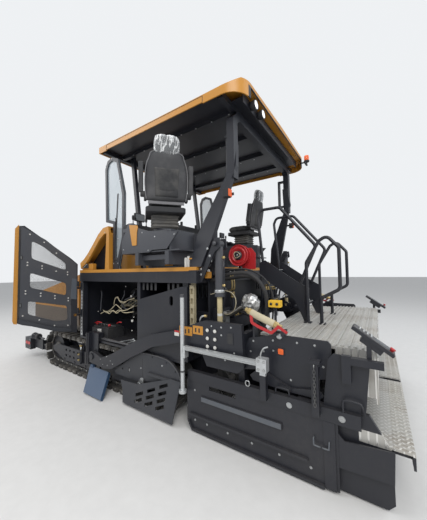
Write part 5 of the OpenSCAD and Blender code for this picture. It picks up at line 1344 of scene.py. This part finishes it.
def screen_parts():
    """A wiper with its motor on each side window, and the frame's bolts."""
    arm = pipe([(.218, 1.222, 1.86), (.214, 1.226, 2.1), (.232, 1.226, 2.46)], .006, 6, 8)
    blade = block(.205, .222, 1.2145, 1.222, 2.14, 2.82)
    pair("wiper_arm", arm, "plastic", smooth=True)
    pair("wiper_blade", turned(blade, -4, "y", (.213, 0, 2.46)), "hose")
    motor = lathe([(.0, 1.228), (.026, 1.228), (.03, 1.22), (.03, 1.2), (.0, 1.2)], (.218, 0, 1.85), "y", 20)
    pair("wiper_motor", motor, "plastic", smooth=True)
    heads_at = [(x, 1.2281, z) for x, z in ((.17, 1.79), (.27, 1.79), (.17, 2.15), (.10, 2.6), (.12, 3.0),
        (.33, 3.375), (.475, 3.3))]
    pair("screen_frame_bolts", heads(heads_at, radius=.008, high=.005), "zinc")


def console_parts():
    """On each sliding seat console: its yellow bracket, lower beam, switch panel with levers and a
    display."""
    for side, y0 in (("left", 1.22), ("right", .95)):
        body = "console_" + side

        def put(name, part, mat, smooth=False, soft=0.0):
            part = moved(part, (-.77, y0, 0))
            lone(f"{name}_{side}", part if side == "left" else mirrored(part), mat, body, None, smooth, soft)

        tongue = plate([(.441, 2.262), (.285, 2.238), (.270, 2.215), (.291, 2.152), (.297, 1.995),
            (.305, 1.988), (.375, 1.988), (.383, 1.998), (.425, 2.18)], "y", .1863, .193)
        put("console_bracket", tongue, "yellow", soft=.002)
        put("console_beam", block(-.2, .25, .10, .13, 1.80, 1.86), "grey", soft=.003)
        put("console_stay", block(.3105, .37, .09, .14, 1.752, 1.8915), "yellow", soft=.003)
        put("console_edge_bolts", side_heads(.1861, ((.09, 1.915), (-.02, 2.07), (-.33, 2.07), (.56, 1.95),
            (.2, 2.14)), radius=.007, high=.004), "zinc")
        panel = plate([(.46, 2.226), (.60, 2.226), (.60, 2.262), (.50, 2.29), (.46, 2.29)], "y", -.23, .165)
        put("switch_panel", panel, "plastic", soft=.005)
        tilt = math.degrees(math.atan2(.028, .10))
        rows = [turned(lathe([(.0, 0), (.009, 0), (.009, .008), (.006, .013), (.0, .013)],
            (.52 + .035 * i, -.19 + .034 * j, 2.2835 - .0098 * i), "z", 12), tilt, "y",
            (.52 + .035 * i, 0, 2.2835 - .0098 * i)) for i in range(2) for j in range(10)]
        put("switch_caps", gather(rows), "zinc", smooth=True)
        levers = gather([lathe([(.0, 2.286), (.016, 2.286), (.012, 2.30), (.006, 2.304), (.006, 2.345),
            (.014, 2.35), (.017, 2.375), (.015, 2.40), (.009, 2.41), (.0, 2.41)], (.48, y, 0), "z", 18)
            for y in (-.12, .10)])
        put("drive_levers", levers, "plastic", smooth=True)
        shell = plate(rounded(.085, .055, .014), "y", -.012, .012)
        shell = turned(moved(shell, (.50, -.02, 2.40)), 90, "z", (.50, -.02, 0))
        put("display_shell", shell, "plastic", soft=.004)
        glass = plate(rounded(.072, .043, .006), "y", -.0135, -.012)
        glass = turned(moved(glass, (.50, -.02, 2.40)), 90, "z", (.50, -.02, 0))
        put("display_glass", mirror_x(glass, .50), "dark_glass")
        put("display_stalk", lathe([(.0, 2.285), (.012, 2.285), (.009, 2.30), (.009, 2.352), (.0, 2.352)],
            (.505, -.02, 0), "z", 12), "plastic", smooth=True)


def mirror_x(part, x):
    """The part reflected in the plane at x."""
    p = np.asarray(part[0]).copy()
    p[:, 0] = 2 * x - p[:, 0]
    return p, [q[::-1] for q in part[1]]


def deck_parts():
    """Pale stubs and link bar at the deck's rear edge, switches and bolts of the control console."""
    posts = gather([lathe([(.0, 1.7045), (.017, 1.7045), (.017, 1.80), (.012, 1.815), (.0, 1.815)],
        (-1.12, 1.235, 0), "z", 14), block(-1.172, -1.15, 1.225, 1.245, 1.7045, 1.83)])
    pair("deck_stubs", posts, "label")
    bar = pipe([(-1.15, 1.235, 1.80), (-1.19, 1.232, 1.80), (-1.235, 1.225, 1.80)], .009, 6, 10)
    pair("deck_link_bar", bar, "yellow", smooth=True)
    grid = [(x, y) for x in (-.11, -.155, -.2) for y in np.arange(-.19, .2, .042)]
    caps = [turned(lathe([(.0, 0), (.011, 0), (.011, .007), (.008, .012), (.0, .012)],
        (x, y, 2.4285 + (x + .155) * .32), "z", 12), -18, "y", (x, 0, 2.4285 + (x + .155) * .32))
        for x, y in grid if abs(abs(y) - .2) > .04]
    lone("console_switches", gather(caps), "zinc", smooth=True)
    lone("console_front_bolts", heads([(-.335, y, z) for y in (-.26, .26) for z in (1.78, 2.1)], "x", .01,
        -.006), "zinc")


# Behind the platform

def crumple(centre, radius, rows=48, cols=72):
    """A ball of crushed foil: its radius is cut by folds, each the fold |sin| of a wave in a slanting
    direction."""
    v = np.linspace(-np.pi / 2, np.pi / 2, rows)[:, None]
    u = np.linspace(0, 2 * np.pi, cols, endpoint=False)[None]
    d = np.stack([np.cos(v) * np.cos(u), np.cos(v) * np.sin(u), np.sin(v) * np.ones_like(u)], -1)
    way = np.random.default_rng(7).normal(size=(16, 3))
    way /= np.linalg.norm(way, axis=1, keepdims=True)
    waves = np.abs(np.sin(d @ way.T * np.linspace(2.0, 11.0, 16) + np.arange(16)))
    cut = (waves * np.linspace(0.06, 0.012, 16)).sum(-1)
    p = d * (radius * (1.12 - cut))[..., None] * (1.0, 0.85, 1.05)
    return p.reshape(-1, 3) + np.asarray(centre, float), [list(q) for q in sheet_faces(rows, cols, False,
        True)]


def rack_parts():
    """The foil-wrapped pipe, valves, fittings and pipes on the hydraulic rack."""
    lone("foil_wrap", crumple((-1.765, .90, 1.295), .134), "foil", smooth=True)
    lone("foil_pipe", pipe(at_y(.90, [(-1.44, 1.15), (-1.53, 1.17), (-1.62, 1.22), (-1.70, 1.27)]), .032, 8,
        16), "worn", smooth=True)
    valves = []
    for i in range(5):
        x = -1.36 - .022 * i
        y = .56 + .046 * i
        valves.append(lathe([(.0, 1.325), (.02, 1.325), (.022, 1.34), (.016, 1.36), (.02, 1.372),
            (.012, 1.385), (.0, 1.385)], (x, y, .0), "z", 12))
    pair("valve_heads", gather(valves), "gold", smooth=True)
    blocks = [block(-1.486, -1.44, .54 + .06 * i, .58 + .06 * i, 1.10, 1.18) for i in range(4)]
    blocks += [block(-1.462, -1.42, .84, .98, 1.04, 1.19)]
    pair("valve_blocks", gather(blocks), "zinc", soft=.004)
    nuts = heads([(-1.4865, .56 + .06 * i, z) for i in range(4) for z in (1.12, 1.16)], "x", .013, -.014)
    pair("valve_fittings", nuts, "gold")
    cap = gather([block(-1.385, -1.33, 1.10, 1.16, 1.575, 1.65), block(-1.38, -1.32, 1.0925, 1.10, 1.585,
        1.64)])
    pair("yellow_valve_box", cap, "yellow", soft=.004)
    pair("yellow_valve_cap", lathe([(.0, 1.65), (.022, 1.65), (.024, 1.656), (.02, 1.675), (.0, 1.68)],
        (-1.358, 1.13, 0), "z", 18), "label", smooth=True)
    pair("ear_bolts", side_heads(1.2261, ((-1.33, 1.62), (-1.33, 1.68), (-1.45, 1.82), (-1.42, 1.90)),
        radius=.012, high=.009), "zinc")
    pin = lathe([(.0, 1.2405), (.02, 1.2405), (.024, 1.243), (.024, 1.248), (.0, 1.252)], (-1.52, 0, 1.95),
        "y", 24)
    pair("ear_pin_washers", pin, "grey", smooth=True)
    pipes = [pipe([(-1.335, y, 1.40), (-1.38, y, 1.42), (-1.39, y + .01, 1.52), (-1.36, y + .02, 1.62),
        (-1.315, y + .02, 1.64)], .011, 6, 10) for y in (.58, .64)]
    pair("rack_pipes", gather(pipes), "gold", smooth=True)


REEL_X, REEL_Z = -1.56, 1.84


def reel_parts():
    """Pressed rings of the reel's flanges, the hose wound on its drum, its hub and the red foot on the
    bracket."""
    c = (REEL_X, 0, REEL_Z)
    ring = [lathe([(.128, y), (.130, y + s * .003), (.128, y + s * .008), (.121, y + s * .008),
        (.118, y + s * .002), (.098, y + s * .001), (.094, y + s * .007), (.078, y + s * .007),
        (.074, y + s * .001)], c, "y", 56) for y, s in ((.7862, 1), (.7158, -1))]
    lone("reel_pressed_rings", gather(ring), "red", "reel", smooth=True)
    a = np.linspace(0, 2 * np.pi * 5, 160)
    wound = np.c_[REEL_X + .085 * np.cos(a), .736 + .030 * a / a[-1], REEL_Z + .085 * np.sin(a)]
    lone("reel_wound_hose", tube(wound, .0088, 9), "hose", "reel", smooth=True)
    hub = lathe([(.019, .7862), (.052, .7862), (.054, .792), (.050, .796), (.030, .797), (.028, .806),
        (.0195, .806)], c, "y", 32)
    lone("reel_hub", hub, "dark", "reel", smooth=True)
    nut = lathe([(.0, .8), (.016, .8), (.016, .815), (.012, .819), (.0, .819)], c, "y", 6)
    lone("reel_axle_nut", nut, "zinc")
    t = np.linspace(0, 2 * np.pi, 40, endpoint=False)
    loop = np.c_[REEL_X + .040 * np.cos(t), .812 + .006 * np.sin(3 * t),
        1.845 + .034 * np.sin(t) + .008 * np.sin(2 * t)]
    lone("reel_hose_clip", tube(loop, .0042, 8, closed=True), "cream", "reel", smooth=True)
    foot = plate([(-1.57, 1.675), (-1.742, 1.672), (-1.75, 1.68), (-1.752, 1.86), (-1.70, 1.93),
        (-1.57, 1.93)], "y", .7005, .7065)
    lone("reel_foot_plate", foot, "red", soft=.002)
    lone("reel_bracket_bolts", side_heads(.7064, ((-1.40, 1.65), (-1.46, 1.65), (-1.56, 1.70)), radius=.01,
        high=.006), "zinc")


def barrel_parts():
    """Collar, ports and side pipe of the lift barrels."""
    at = (-1.52, 1.15, 0)
    pair("barrel_collar", lathe([(.0475, 1.4205), (.056, 1.4205), (.0565, 1.425), (.0565, 1.452),
        (.054, 1.456), (.0475, 1.456)], at, "z", 36), "zinc", "barrel", smooth=True)
    port = [lathe([(.0, -1.56), (.016, -1.56), (.016, -1.586), (.011, -1.592), (.0, -1.592)], (0, 1.15, z),
        "x", 6) for z in (1.50, 1.80)]
    pair("barrel_ports", gather(port), "gold", "barrel")
    line = pipe([(-1.58, 1.15, 1.80), (-1.586, 1.154, 1.76), (-1.586, 1.154, 1.66), (-1.586, 1.154, 1.54),
        (-1.58, 1.15, 1.50)], .007, 6, 8)
    pair("barrel_side_pipe", line, "dark", "barrel", smooth=True)


# Screed, walkway and stairs

ARM_FACE = 1.3501


def arm_parts():
    """Bolts, blank plates and stripes on the tow arms' outer faces, and the pipe over them."""
    six = [(x, 1.3591, z) for x in (-1.5, -1.59) for z in (.90, .98, 1.06)]
    pair("arm_plate_bolts", heads(six, radius=.014, high=.01, sides=16), "label", "screed")
    small = [(x, ARM_FACE, z) for x, z in ((-1.545, 1.105), (-1.66, 1.105), (-1.66, 1.03), (-1.70, .80),
        (-1.77, 1.115), (-1.80, .88))]
    pair("arm_small_bolts", heads(small, radius=.008, high=.006), "zinc", "screed")
    pair("arm_plate_yellow", gather([block(-1.439, -1.307, 1.3502, 1.352, 1.0, 1.088),
        block(-1.297, -1.12, 1.3502, 1.352, .972, 1.065)]), "yellow", "screed", soft=.001)
    pair("arm_plate_mark", gather([block(x, x + .018, 1.352, 1.3526, z, z + .045)
        for x, z in ((-1.40, 1.02), (-1.355, 1.02), (-1.262, .998), (-1.215, .99), (-1.165, .985))]),
        "plastic", "screed")
    pair("arm_end_label", block(-1.112, -1.045, 1.3502, 1.3515, .948, .985), "label", "screed")
    pair("arm_end_stripe", block(-1.112, -1.045, 1.3502, 1.3515, .986, 1.006), "red", "screed")
    stub = pipe([(-1.38, 1.31, 1.10), (-1.40, 1.34, 1.16), (-1.43, 1.35, 1.19), (-1.47, 1.352, 1.20)], .010,
        6, 10)
    pair("arm_top_pipe", stub, "zinc", "screed", smooth=True)
    ends = lathe([(.0, -.012), (.013, -.012), (.013, .012), (.0, .012)], (-1.475, 1.352, 1.20), "x", 6)
    pair("arm_top_nut", ends, "gold", "screed")
    rim = plate([(-1.795, .955), (-1.725, .955), (-1.725, 1.065), (-1.795, 1.065)], "y", 1.3502, 1.3535)
    hole = plate([(-1.788, .962), (-1.732, .962), (-1.732, 1.058), (-1.788, 1.058)], "y", 1.3535, 1.3541)
    pair("arm_window_frame", rim, "dark", "screed")
    pair("arm_window_dark", hole, "plastic", "screed")


SIDE_FACE = 1.2651


def side_plate_parts():
    """Bolts, reflector, lock lever, cable sleeve and control box at the screed's side plates."""
    spots = [(x, SIDE_FACE, z) for x, z in ((-1.96, 1.0), (-1.93, .90), (-2.06, .92), (-2.15, .94),
        (-2.15, 1.03), (-2.36, 1.04), (-2.5, 1.04), (-2.56, .88), (-2.3, .72), (-2.0, .76))]
    pair("side_plate_bolts", heads(spots, radius=.008, high=.006), "zinc", "screed")
    knob = lathe([(.0, 1.265), (.024, 1.265), (.026, 1.268), (.026, 1.276), (.02, 1.28), (.0, 1.28)],
        (-2.21, 0, 1.075), "y", 26)
    pair("side_plate_washer", knob, "zinc", "screed", smooth=True)
    lens = plate(rounded(.024, .024, .010), "y", 1.2705, 1.2745)
    pair("side_reflector", moved(lens, (-2.22, 0, .945)), "orange", "screed", soft=.0015)
    bar = [(-1.950, 1.250), (-1.955, 1.183), (-1.968, 1.165), (-2.022, 1.138), (-2.150, 1.094),
        (-2.165, 1.098), (-2.222, 1.150), (-2.290, 1.112), (-2.302, 1.130), (-2.228, 1.178), (-2.212, 1.178),
        (-2.155, 1.122), (-2.035, 1.163), (-1.985, 1.186), (-1.980, 1.25)]
    pair("lock_lever", plate(bar, "y", 1.310, 1.318), "red", "screed", soft=.0025)
    pair("lock_lever_lugs", gather([block(-2.20, -2.16, 1.265, 1.31, 1.085, 1.105),
        block(-2.262, -2.235, 1.20, 1.31, 1.085, 1.13), block(-1.975, -1.955, 1.2, 1.31, 1.19, 1.22),
        block(-1.975, -1.955, 1.2, 1.2655, .97, 1.19)]), "dark", "screed", soft=.002)
    sleeve = pipe(at_y(1.29, [(-1.955, 1.268), (-2.02, 1.238), (-2.09, 1.212), (-2.175, 1.180)]), .031, 14,
        20, .10)
    pair("cable_sleeve", sleeve, "cream", "screed", smooth=True)
    ends = gather([turned(lathe([(.0, 0), (.028, 0), (.03, .006), (.03, .03), (.02, .04), (.02, .06),
        (.0, .06)], (-1.955, 1.29, 1.268), "x", 8), -24, "y", (-1.955, 1.29, 1.268)),
        turned(lathe([(.0, 0), (.028, 0), (.03, -.006), (.03, -.03), (.02, -.04), (.02, -.07), (.0, -.07)],
        (-2.175, 1.29, 1.180), "x", 8), -18, "y", (-2.175, 1.29, 1.180))])
    pair("cable_sleeve_ends", ends, "gold", "screed")
    box = block(-2.14, -2.02, .95, 1.03, 1.285, 1.352)
    pair("control_box_yellow", box, "bright_yellow", "screed", soft=.005)
    pair("control_box_ports", gather([lathe([(.0, 0), (.014, 0), (.014, .004), (.0, .004)], (x, 1.0305, 1.32),
        "y", 14) for x in (-2.11, -2.05)]), "plastic", "screed", smooth=True)
    pair("control_box_post", gather([block(-2.09, -2.07, .98, 1.0, 1.0395, 1.286),
        block(-2.12, -2.04, .95, 1.03, 1.0395, 1.046)]), "dark", "screed", soft=.002)


def walkway_parts():
    """Ribs of the walkways and steps, studs of the stairs, bolts and seams of the rear panel."""
    ribs = [block(x, x + .014, -1.19, 1.19, 1.0475, 1.054) for x in np.arange(-2.885, -2.34, .046)]
    lone("walkway_ribs", gather(ribs), "tread", "screed")
    front = [block(-2.26 + .05 * i, -2.246 + .05 * i, -1.09, 1.09, 1.0395, 1.0455) for i in range(6)]
    lone("walkway_inner_ribs", gather(front), "tread", "screed")
    studs = [(x, y, z) for k in range(5) for x, z in ((-1.735 - .105 * k, 1.662 - .11 * k),
        (-1.685 - .105 * k, 1.662 - .11 * k)) for y in np.arange(-.29, .30, .058)]
    stud = lathe([(.014, -.0005), (.012, .005), (.006, .006), (.0, .006)], (0, 0, 0), "z", 10)
    lone("step_studs", copies(stud, studs), "zinc", smooth=True)
    bolts = heads([(-2.9201, y, .98) for y in np.arange(-1.1, 1.15, .275)], "x", .012, -.008)
    lone("rear_panel_bolts", bolts, "zinc", "screed")
    seams = gather([block(-2.9208, -2.9198, y - .002, y + .002, .665, 1.03) for y in (-.55, 0.0, .55)])
    lone("rear_panel_seams", seams, "plastic", "screed")
    step = [block(-3.108, -2.99, y, y + .012, .4335, .4395) for y in np.arange(.06, 1.27, .05)]
    pair("lower_step_ribs", gather(step), "tread", "screed_extension")


GATE_FACE = 1.3412
POLE = (-1.205, 1.401, 0)


def gate_parts():
    """Level bar, clamp, pole caps, bolts, strip, handles, eyes and chain of the end gates."""
    bar = gather([block(-2.058, -1.262, 1.4305, 1.4365, z, z + .013) for z in (.8445, .8665)])
    pair("level_bar_ribs", bar, "zinc", "screed_extension", soft=.002)
    clampb = heads([(x, 1.4411, z) for x in (-2.13, -2.08) for z in (.82, .89)], radius=.011, high=.008)
    pair("clamp_bolts", clampb, "zinc", "screed_extension")
    lever = pipe([(-2.105, 1.43, .905), (-2.105, 1.44, .95), (-2.13, 1.44, 1.0), (-2.17, 1.44, 1.02)], .007,
        6, 8)
    pair("clamp_lever", lever, "zinc", "screed_extension", smooth=True)
    pole = gather([lathe([(.0225, z), (.0245, z + .002), (.0245, z + .018), (.0225, z + .02)], POLE, "z", 20)
        for z in (.60, 1.38)] + [lathe([(.0, 1.3995), (.024, 1.3995), (.026, 1.405), (.02, 1.412),
        (.0, 1.414)], POLE, "z", 20)])
    pair("pole_caps", pole, "grey", "screed_extension", smooth=True)
    spots = [(x, GATE_FACE, z) for x, z in ((-1.32, .12), (-1.47, .12), (-1.71, .12), (-1.96, .12),
        (-2.21, .12), (-2.46, .12), (-1.32, .42))]
    pair("gate_bolts", heads(spots, radius=.009, high=.006), "zinc", "screed_extension")
    top = [(x, 1.3492, z) for x, z in ((-2.305, .55), (-2.69, .56))]
    pair("gate_beam_bolts", heads(top, radius=.018, high=.009, sides=20), "zinc", "screed_extension")
    pair("gate_strip", block(-2.234, -1.411, 1.3552, 1.3582, .335, .379), "hinge", "screed_extension",
        soft=.001)
    wire = pipe([(-2.49, 1.3412, .365), (-2.49, 1.362, .362), (-2.492, 1.368, .33), (-2.50, 1.368, .318),
        (-2.59, 1.368, .318), (-2.598, 1.368, .33), (-2.60, 1.362, .362), (-2.60, 1.3412, .365)], .0055, 7, 8)
    pair("gate_wire_handle", wire, "hinge", "screed_extension", smooth=True)
    lift = pipe(at_y(1.325, [(-2.185, .607), (-2.187, .645), (-2.205, .66), (-2.28, .66), (-2.298, .645),
        (-2.30, .607)]), .008, 7, 10)
    pair("gate_lifting_handle", lift, "dark", "screed_extension", smooth=True)
    eyes = gather([link((-1.93, 1.345, .634), .004, .020, .006, "y"), lathe([(.0, .6095), (.009, .6095),
        (.009, .615), (.0, .615)], (-1.93, 1.345, 0), "z", 8)])
    pair("gate_eyes", eyes, "zinc", "screed_extension", smooth=True)
    chain = gather([link((-2.52, 1.412, .905 - .024 * i), .008, .008, .0028, "y" if i % 2 else "x")
        for i in range(12)])
    pair("post_chain", chain, "cast", "screed_extension", smooth=True)
    hook = pipe([(-2.52, 1.40, .93), (-2.52, 1.412, .935), (-2.52, 1.418, .925), (-2.52, 1.413, .915)], .0035,
        6, 8)
    pair("chain_hook", hook, "zinc", "screed_extension", smooth=True)
    grip = pipe([(-2.70, 1.346, .612), (-2.70, 1.346, .68), (-2.72, 1.346, .70), (-2.80, 1.346, .70),
        (-2.82, 1.346, .68), (-2.82, 1.3, .612)], .008, 7, 10)
    pair("gate_grip", grip, "dark", "screed_extension", smooth=True)


def remote_parts():
    """Faces of the screed's remote box on its holder: the sloped panel with switches, its knob, and its
    screen."""
    x0, y0, z0 = -2.89, 1.255, 1.13

    def put(part):
        return turned(moved(part, (x0, y0, z0)), -35, "y", (x0, 0, z0))
    face = put(plate(rounded(.145, .055, .012), "z", .0222, .027))
    pair("remote_face", face, "grey", "screed_extension", soft=.002)
    glass = plate(rounded(.05, .034, .005), "z", .0272, .0285)
    pair("remote_screen", put(moved(glass, (-.06, 0, 0))), "dark_glass", "screed_extension")
    caps = [lathe([(.0, .027), (.008, .027), (.008, .034), (.005, .038), (.0, .038)], (x, y, 0), "z", 12)
        for x in np.arange(.02, .13, .028) for y in (-.03, 0, .03)]
    pair("remote_switches", put(gather(caps)), "zinc", "screed_extension", smooth=True)
    knob = lathe([(.0, .027), (.012, .027), (.012, .04), (.018, .042), (.018, .05), (.0, .054)],
        (-.12, .032, 0), "z", 20)
    pair("remote_stop_knob", put(knob), "red", "screed_extension", smooth=True)


# Front

def front_parts():
    """Damper springs with their plates, corner lamps, and caps and bolts of the roller beam."""
    t = np.linspace(0, 2 * np.pi * 7, 168)
    spring = tube(np.c_[2.59 + .165 * t / t[-1], 1.296 + .049 * np.cos(t), .43 + .049 * np.sin(t)], .0075, 8)
    pair("damper_spring", spring, "dark", smooth=True)
    seat = gather([lathe([(.036, x), (.06, x), (.062, x + .004), (.062, x + .01), (.036, x + .012)],
        (0, 1.296, .43), "x", 28) for x in (2.574, 2.757)])
    pair("damper_plates", seat, "grey", smooth=True)
    lens = plate(rounded(.045, .028, .008), "y", 1.330, 1.336)
    pair("corner_lamps", copies(lens, [(x, 0, .27) for x in (2.93, 3.04)]), "red_lens", soft=.002)
    pair("corner_bolts", heads([(x, 1.3301, z) for x in (2.88, 3.10) for z in (.175, .345)], radius=.010,
        high=.007), "zinc")
    cap = lathe([(.0, .0), (.026, .0), (.03, .004), (.03, .012), (.0, .018)], (3.085, .8105, .52), "y", 18)
    pair("roller_end_caps", cap, "zinc", "roller_beam", smooth=True)
    nuts = heads([(2.998, y, z) for y in (-.6, -.35, .35, .6) for z in (.49, .55)], "x", .012, .008)
    lone("push_beam_bolts", nuts, "zinc", "roller_beam")


def hopper_parts():
    """The rubber flap along a wing's front edge, and the bolts along its outer rim."""
    _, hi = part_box("hopper_wing_left")
    spots = [(x, hi[1] + .0002, hi[2] - .09) for x in np.arange(1.35, 2.8, .24)]
    pair("wing_rim_bolts", heads(spots, radius=.009, high=.006), "zinc", "wing")
    flap = block(hi[0] - .0005, hi[0] + .008, .62, 1.2, .62, 1.0)
    pair("wing_front_flap", flap, "hose", "wing", soft=.002)


def hoses():
    """The hydraulic hoses behind the platform: two thick ones in a ring to the screed, thinner ones beside
    them."""
    hose("ring_hose_outer", [(-1.324, 1.03, 1.555), (-1.37, 1.03, 1.560), (-1.50, 1.03, 1.60),
        (-1.64, 1.02, 1.632), (-1.78, 1.01, 1.628), (-1.89, 1.0, 1.565), (-1.96, .99, 1.465),
        (-1.985, .975, 1.35), (-1.975, .96, 1.23), (-1.945, .945, 1.12), (-1.915, .93, 1.0),
        (-1.89, .92, .86), (-1.87, .915, .73), (-1.866, .915, .624)], .042, None, sides=16,
        bend=((-1.45, 1.0, 1.60), (-1.87, 1.0, .90)))
    hose("ring_hose_inner", [(-1.324, .80, 1.555), (-1.37, .80, 1.556), (-1.50, .80, 1.572),
        (-1.63, .81, 1.588), (-1.75, .82, 1.575), (-1.85, .83, 1.515), (-1.91, .84, 1.42),
        (-1.935, .85, 1.31), (-1.925, .85, 1.20), (-1.90, .85, 1.08), (-1.882, .85, .95), (-1.868, .85, .80),
        (-1.866, .85, .624)], .042, None, sides=16, bend=((-1.45, .8, 1.58), (-1.87, .8, .90)))
    hose("thin_hose_outer", [(-1.324, .985, 1.60), (-1.38, .985, 1.61), (-1.52, .98, 1.655),
        (-1.66, .97, 1.675), (-1.80, .96, 1.660), (-1.93, .95, 1.59), (-2.01, .94, 1.48), (-2.035, .93, 1.35),
        (-2.03, .925, 1.22), (-2.02, .92, 1.12), (-2.02, .92, 1.042)], .019, None, sides=12,
        bend=((-1.45, .95, 1.64), (-2.02, .95, 1.12)))
    hose("pale_cable", [(-1.456, .965, 1.17), (-1.50, .99, 1.165), (-1.56, 1.02, 1.175),
        (-1.625, 1.04, 1.215), (-1.66, 1.05, 1.28), (-1.66, 1.05, 1.35), (-1.62, 1.05, 1.41),
        (-1.54, 1.05, 1.435), (-1.45, 1.05, 1.425), (-1.38, 1.045, 1.40), (-1.324, 1.04, 1.385)], .010,
        "tractor", "cream", sides=8)
    for i, y in enumerate((.52, .60)):
        hose(f"screed_hose_{i}", [(-1.486, y + .04, 1.14), (-1.53, y + .04, 1.135), (-1.64, y + .03, 1.09),
            (-1.74, y, 1.0), (-1.82, y - .01, .88), (-1.858, y - .01, .76), (-1.866, y - .01, .624)], .026,
            None, sides=12, bend=((-1.52, y, 1.13), (-1.86, y, .72)))


camera()
studio()
plain_finishes()
mixed_finishes()
seat_finishes()
lamp_finishes()
dress()
seats()
lamps()
roof_trim()
doors()
hoses()
track_parts()
cover_parts()
hull_parts()
bay_parts()
hood_parts()
screen_parts()
console_parts()
deck_parts()
rack_parts()
reel_parts()
barrel_parts()
arm_parts()
side_plate_parts()
walkway_parts()
gate_parts()
remote_parts()
front_parts()
hopper_parts()
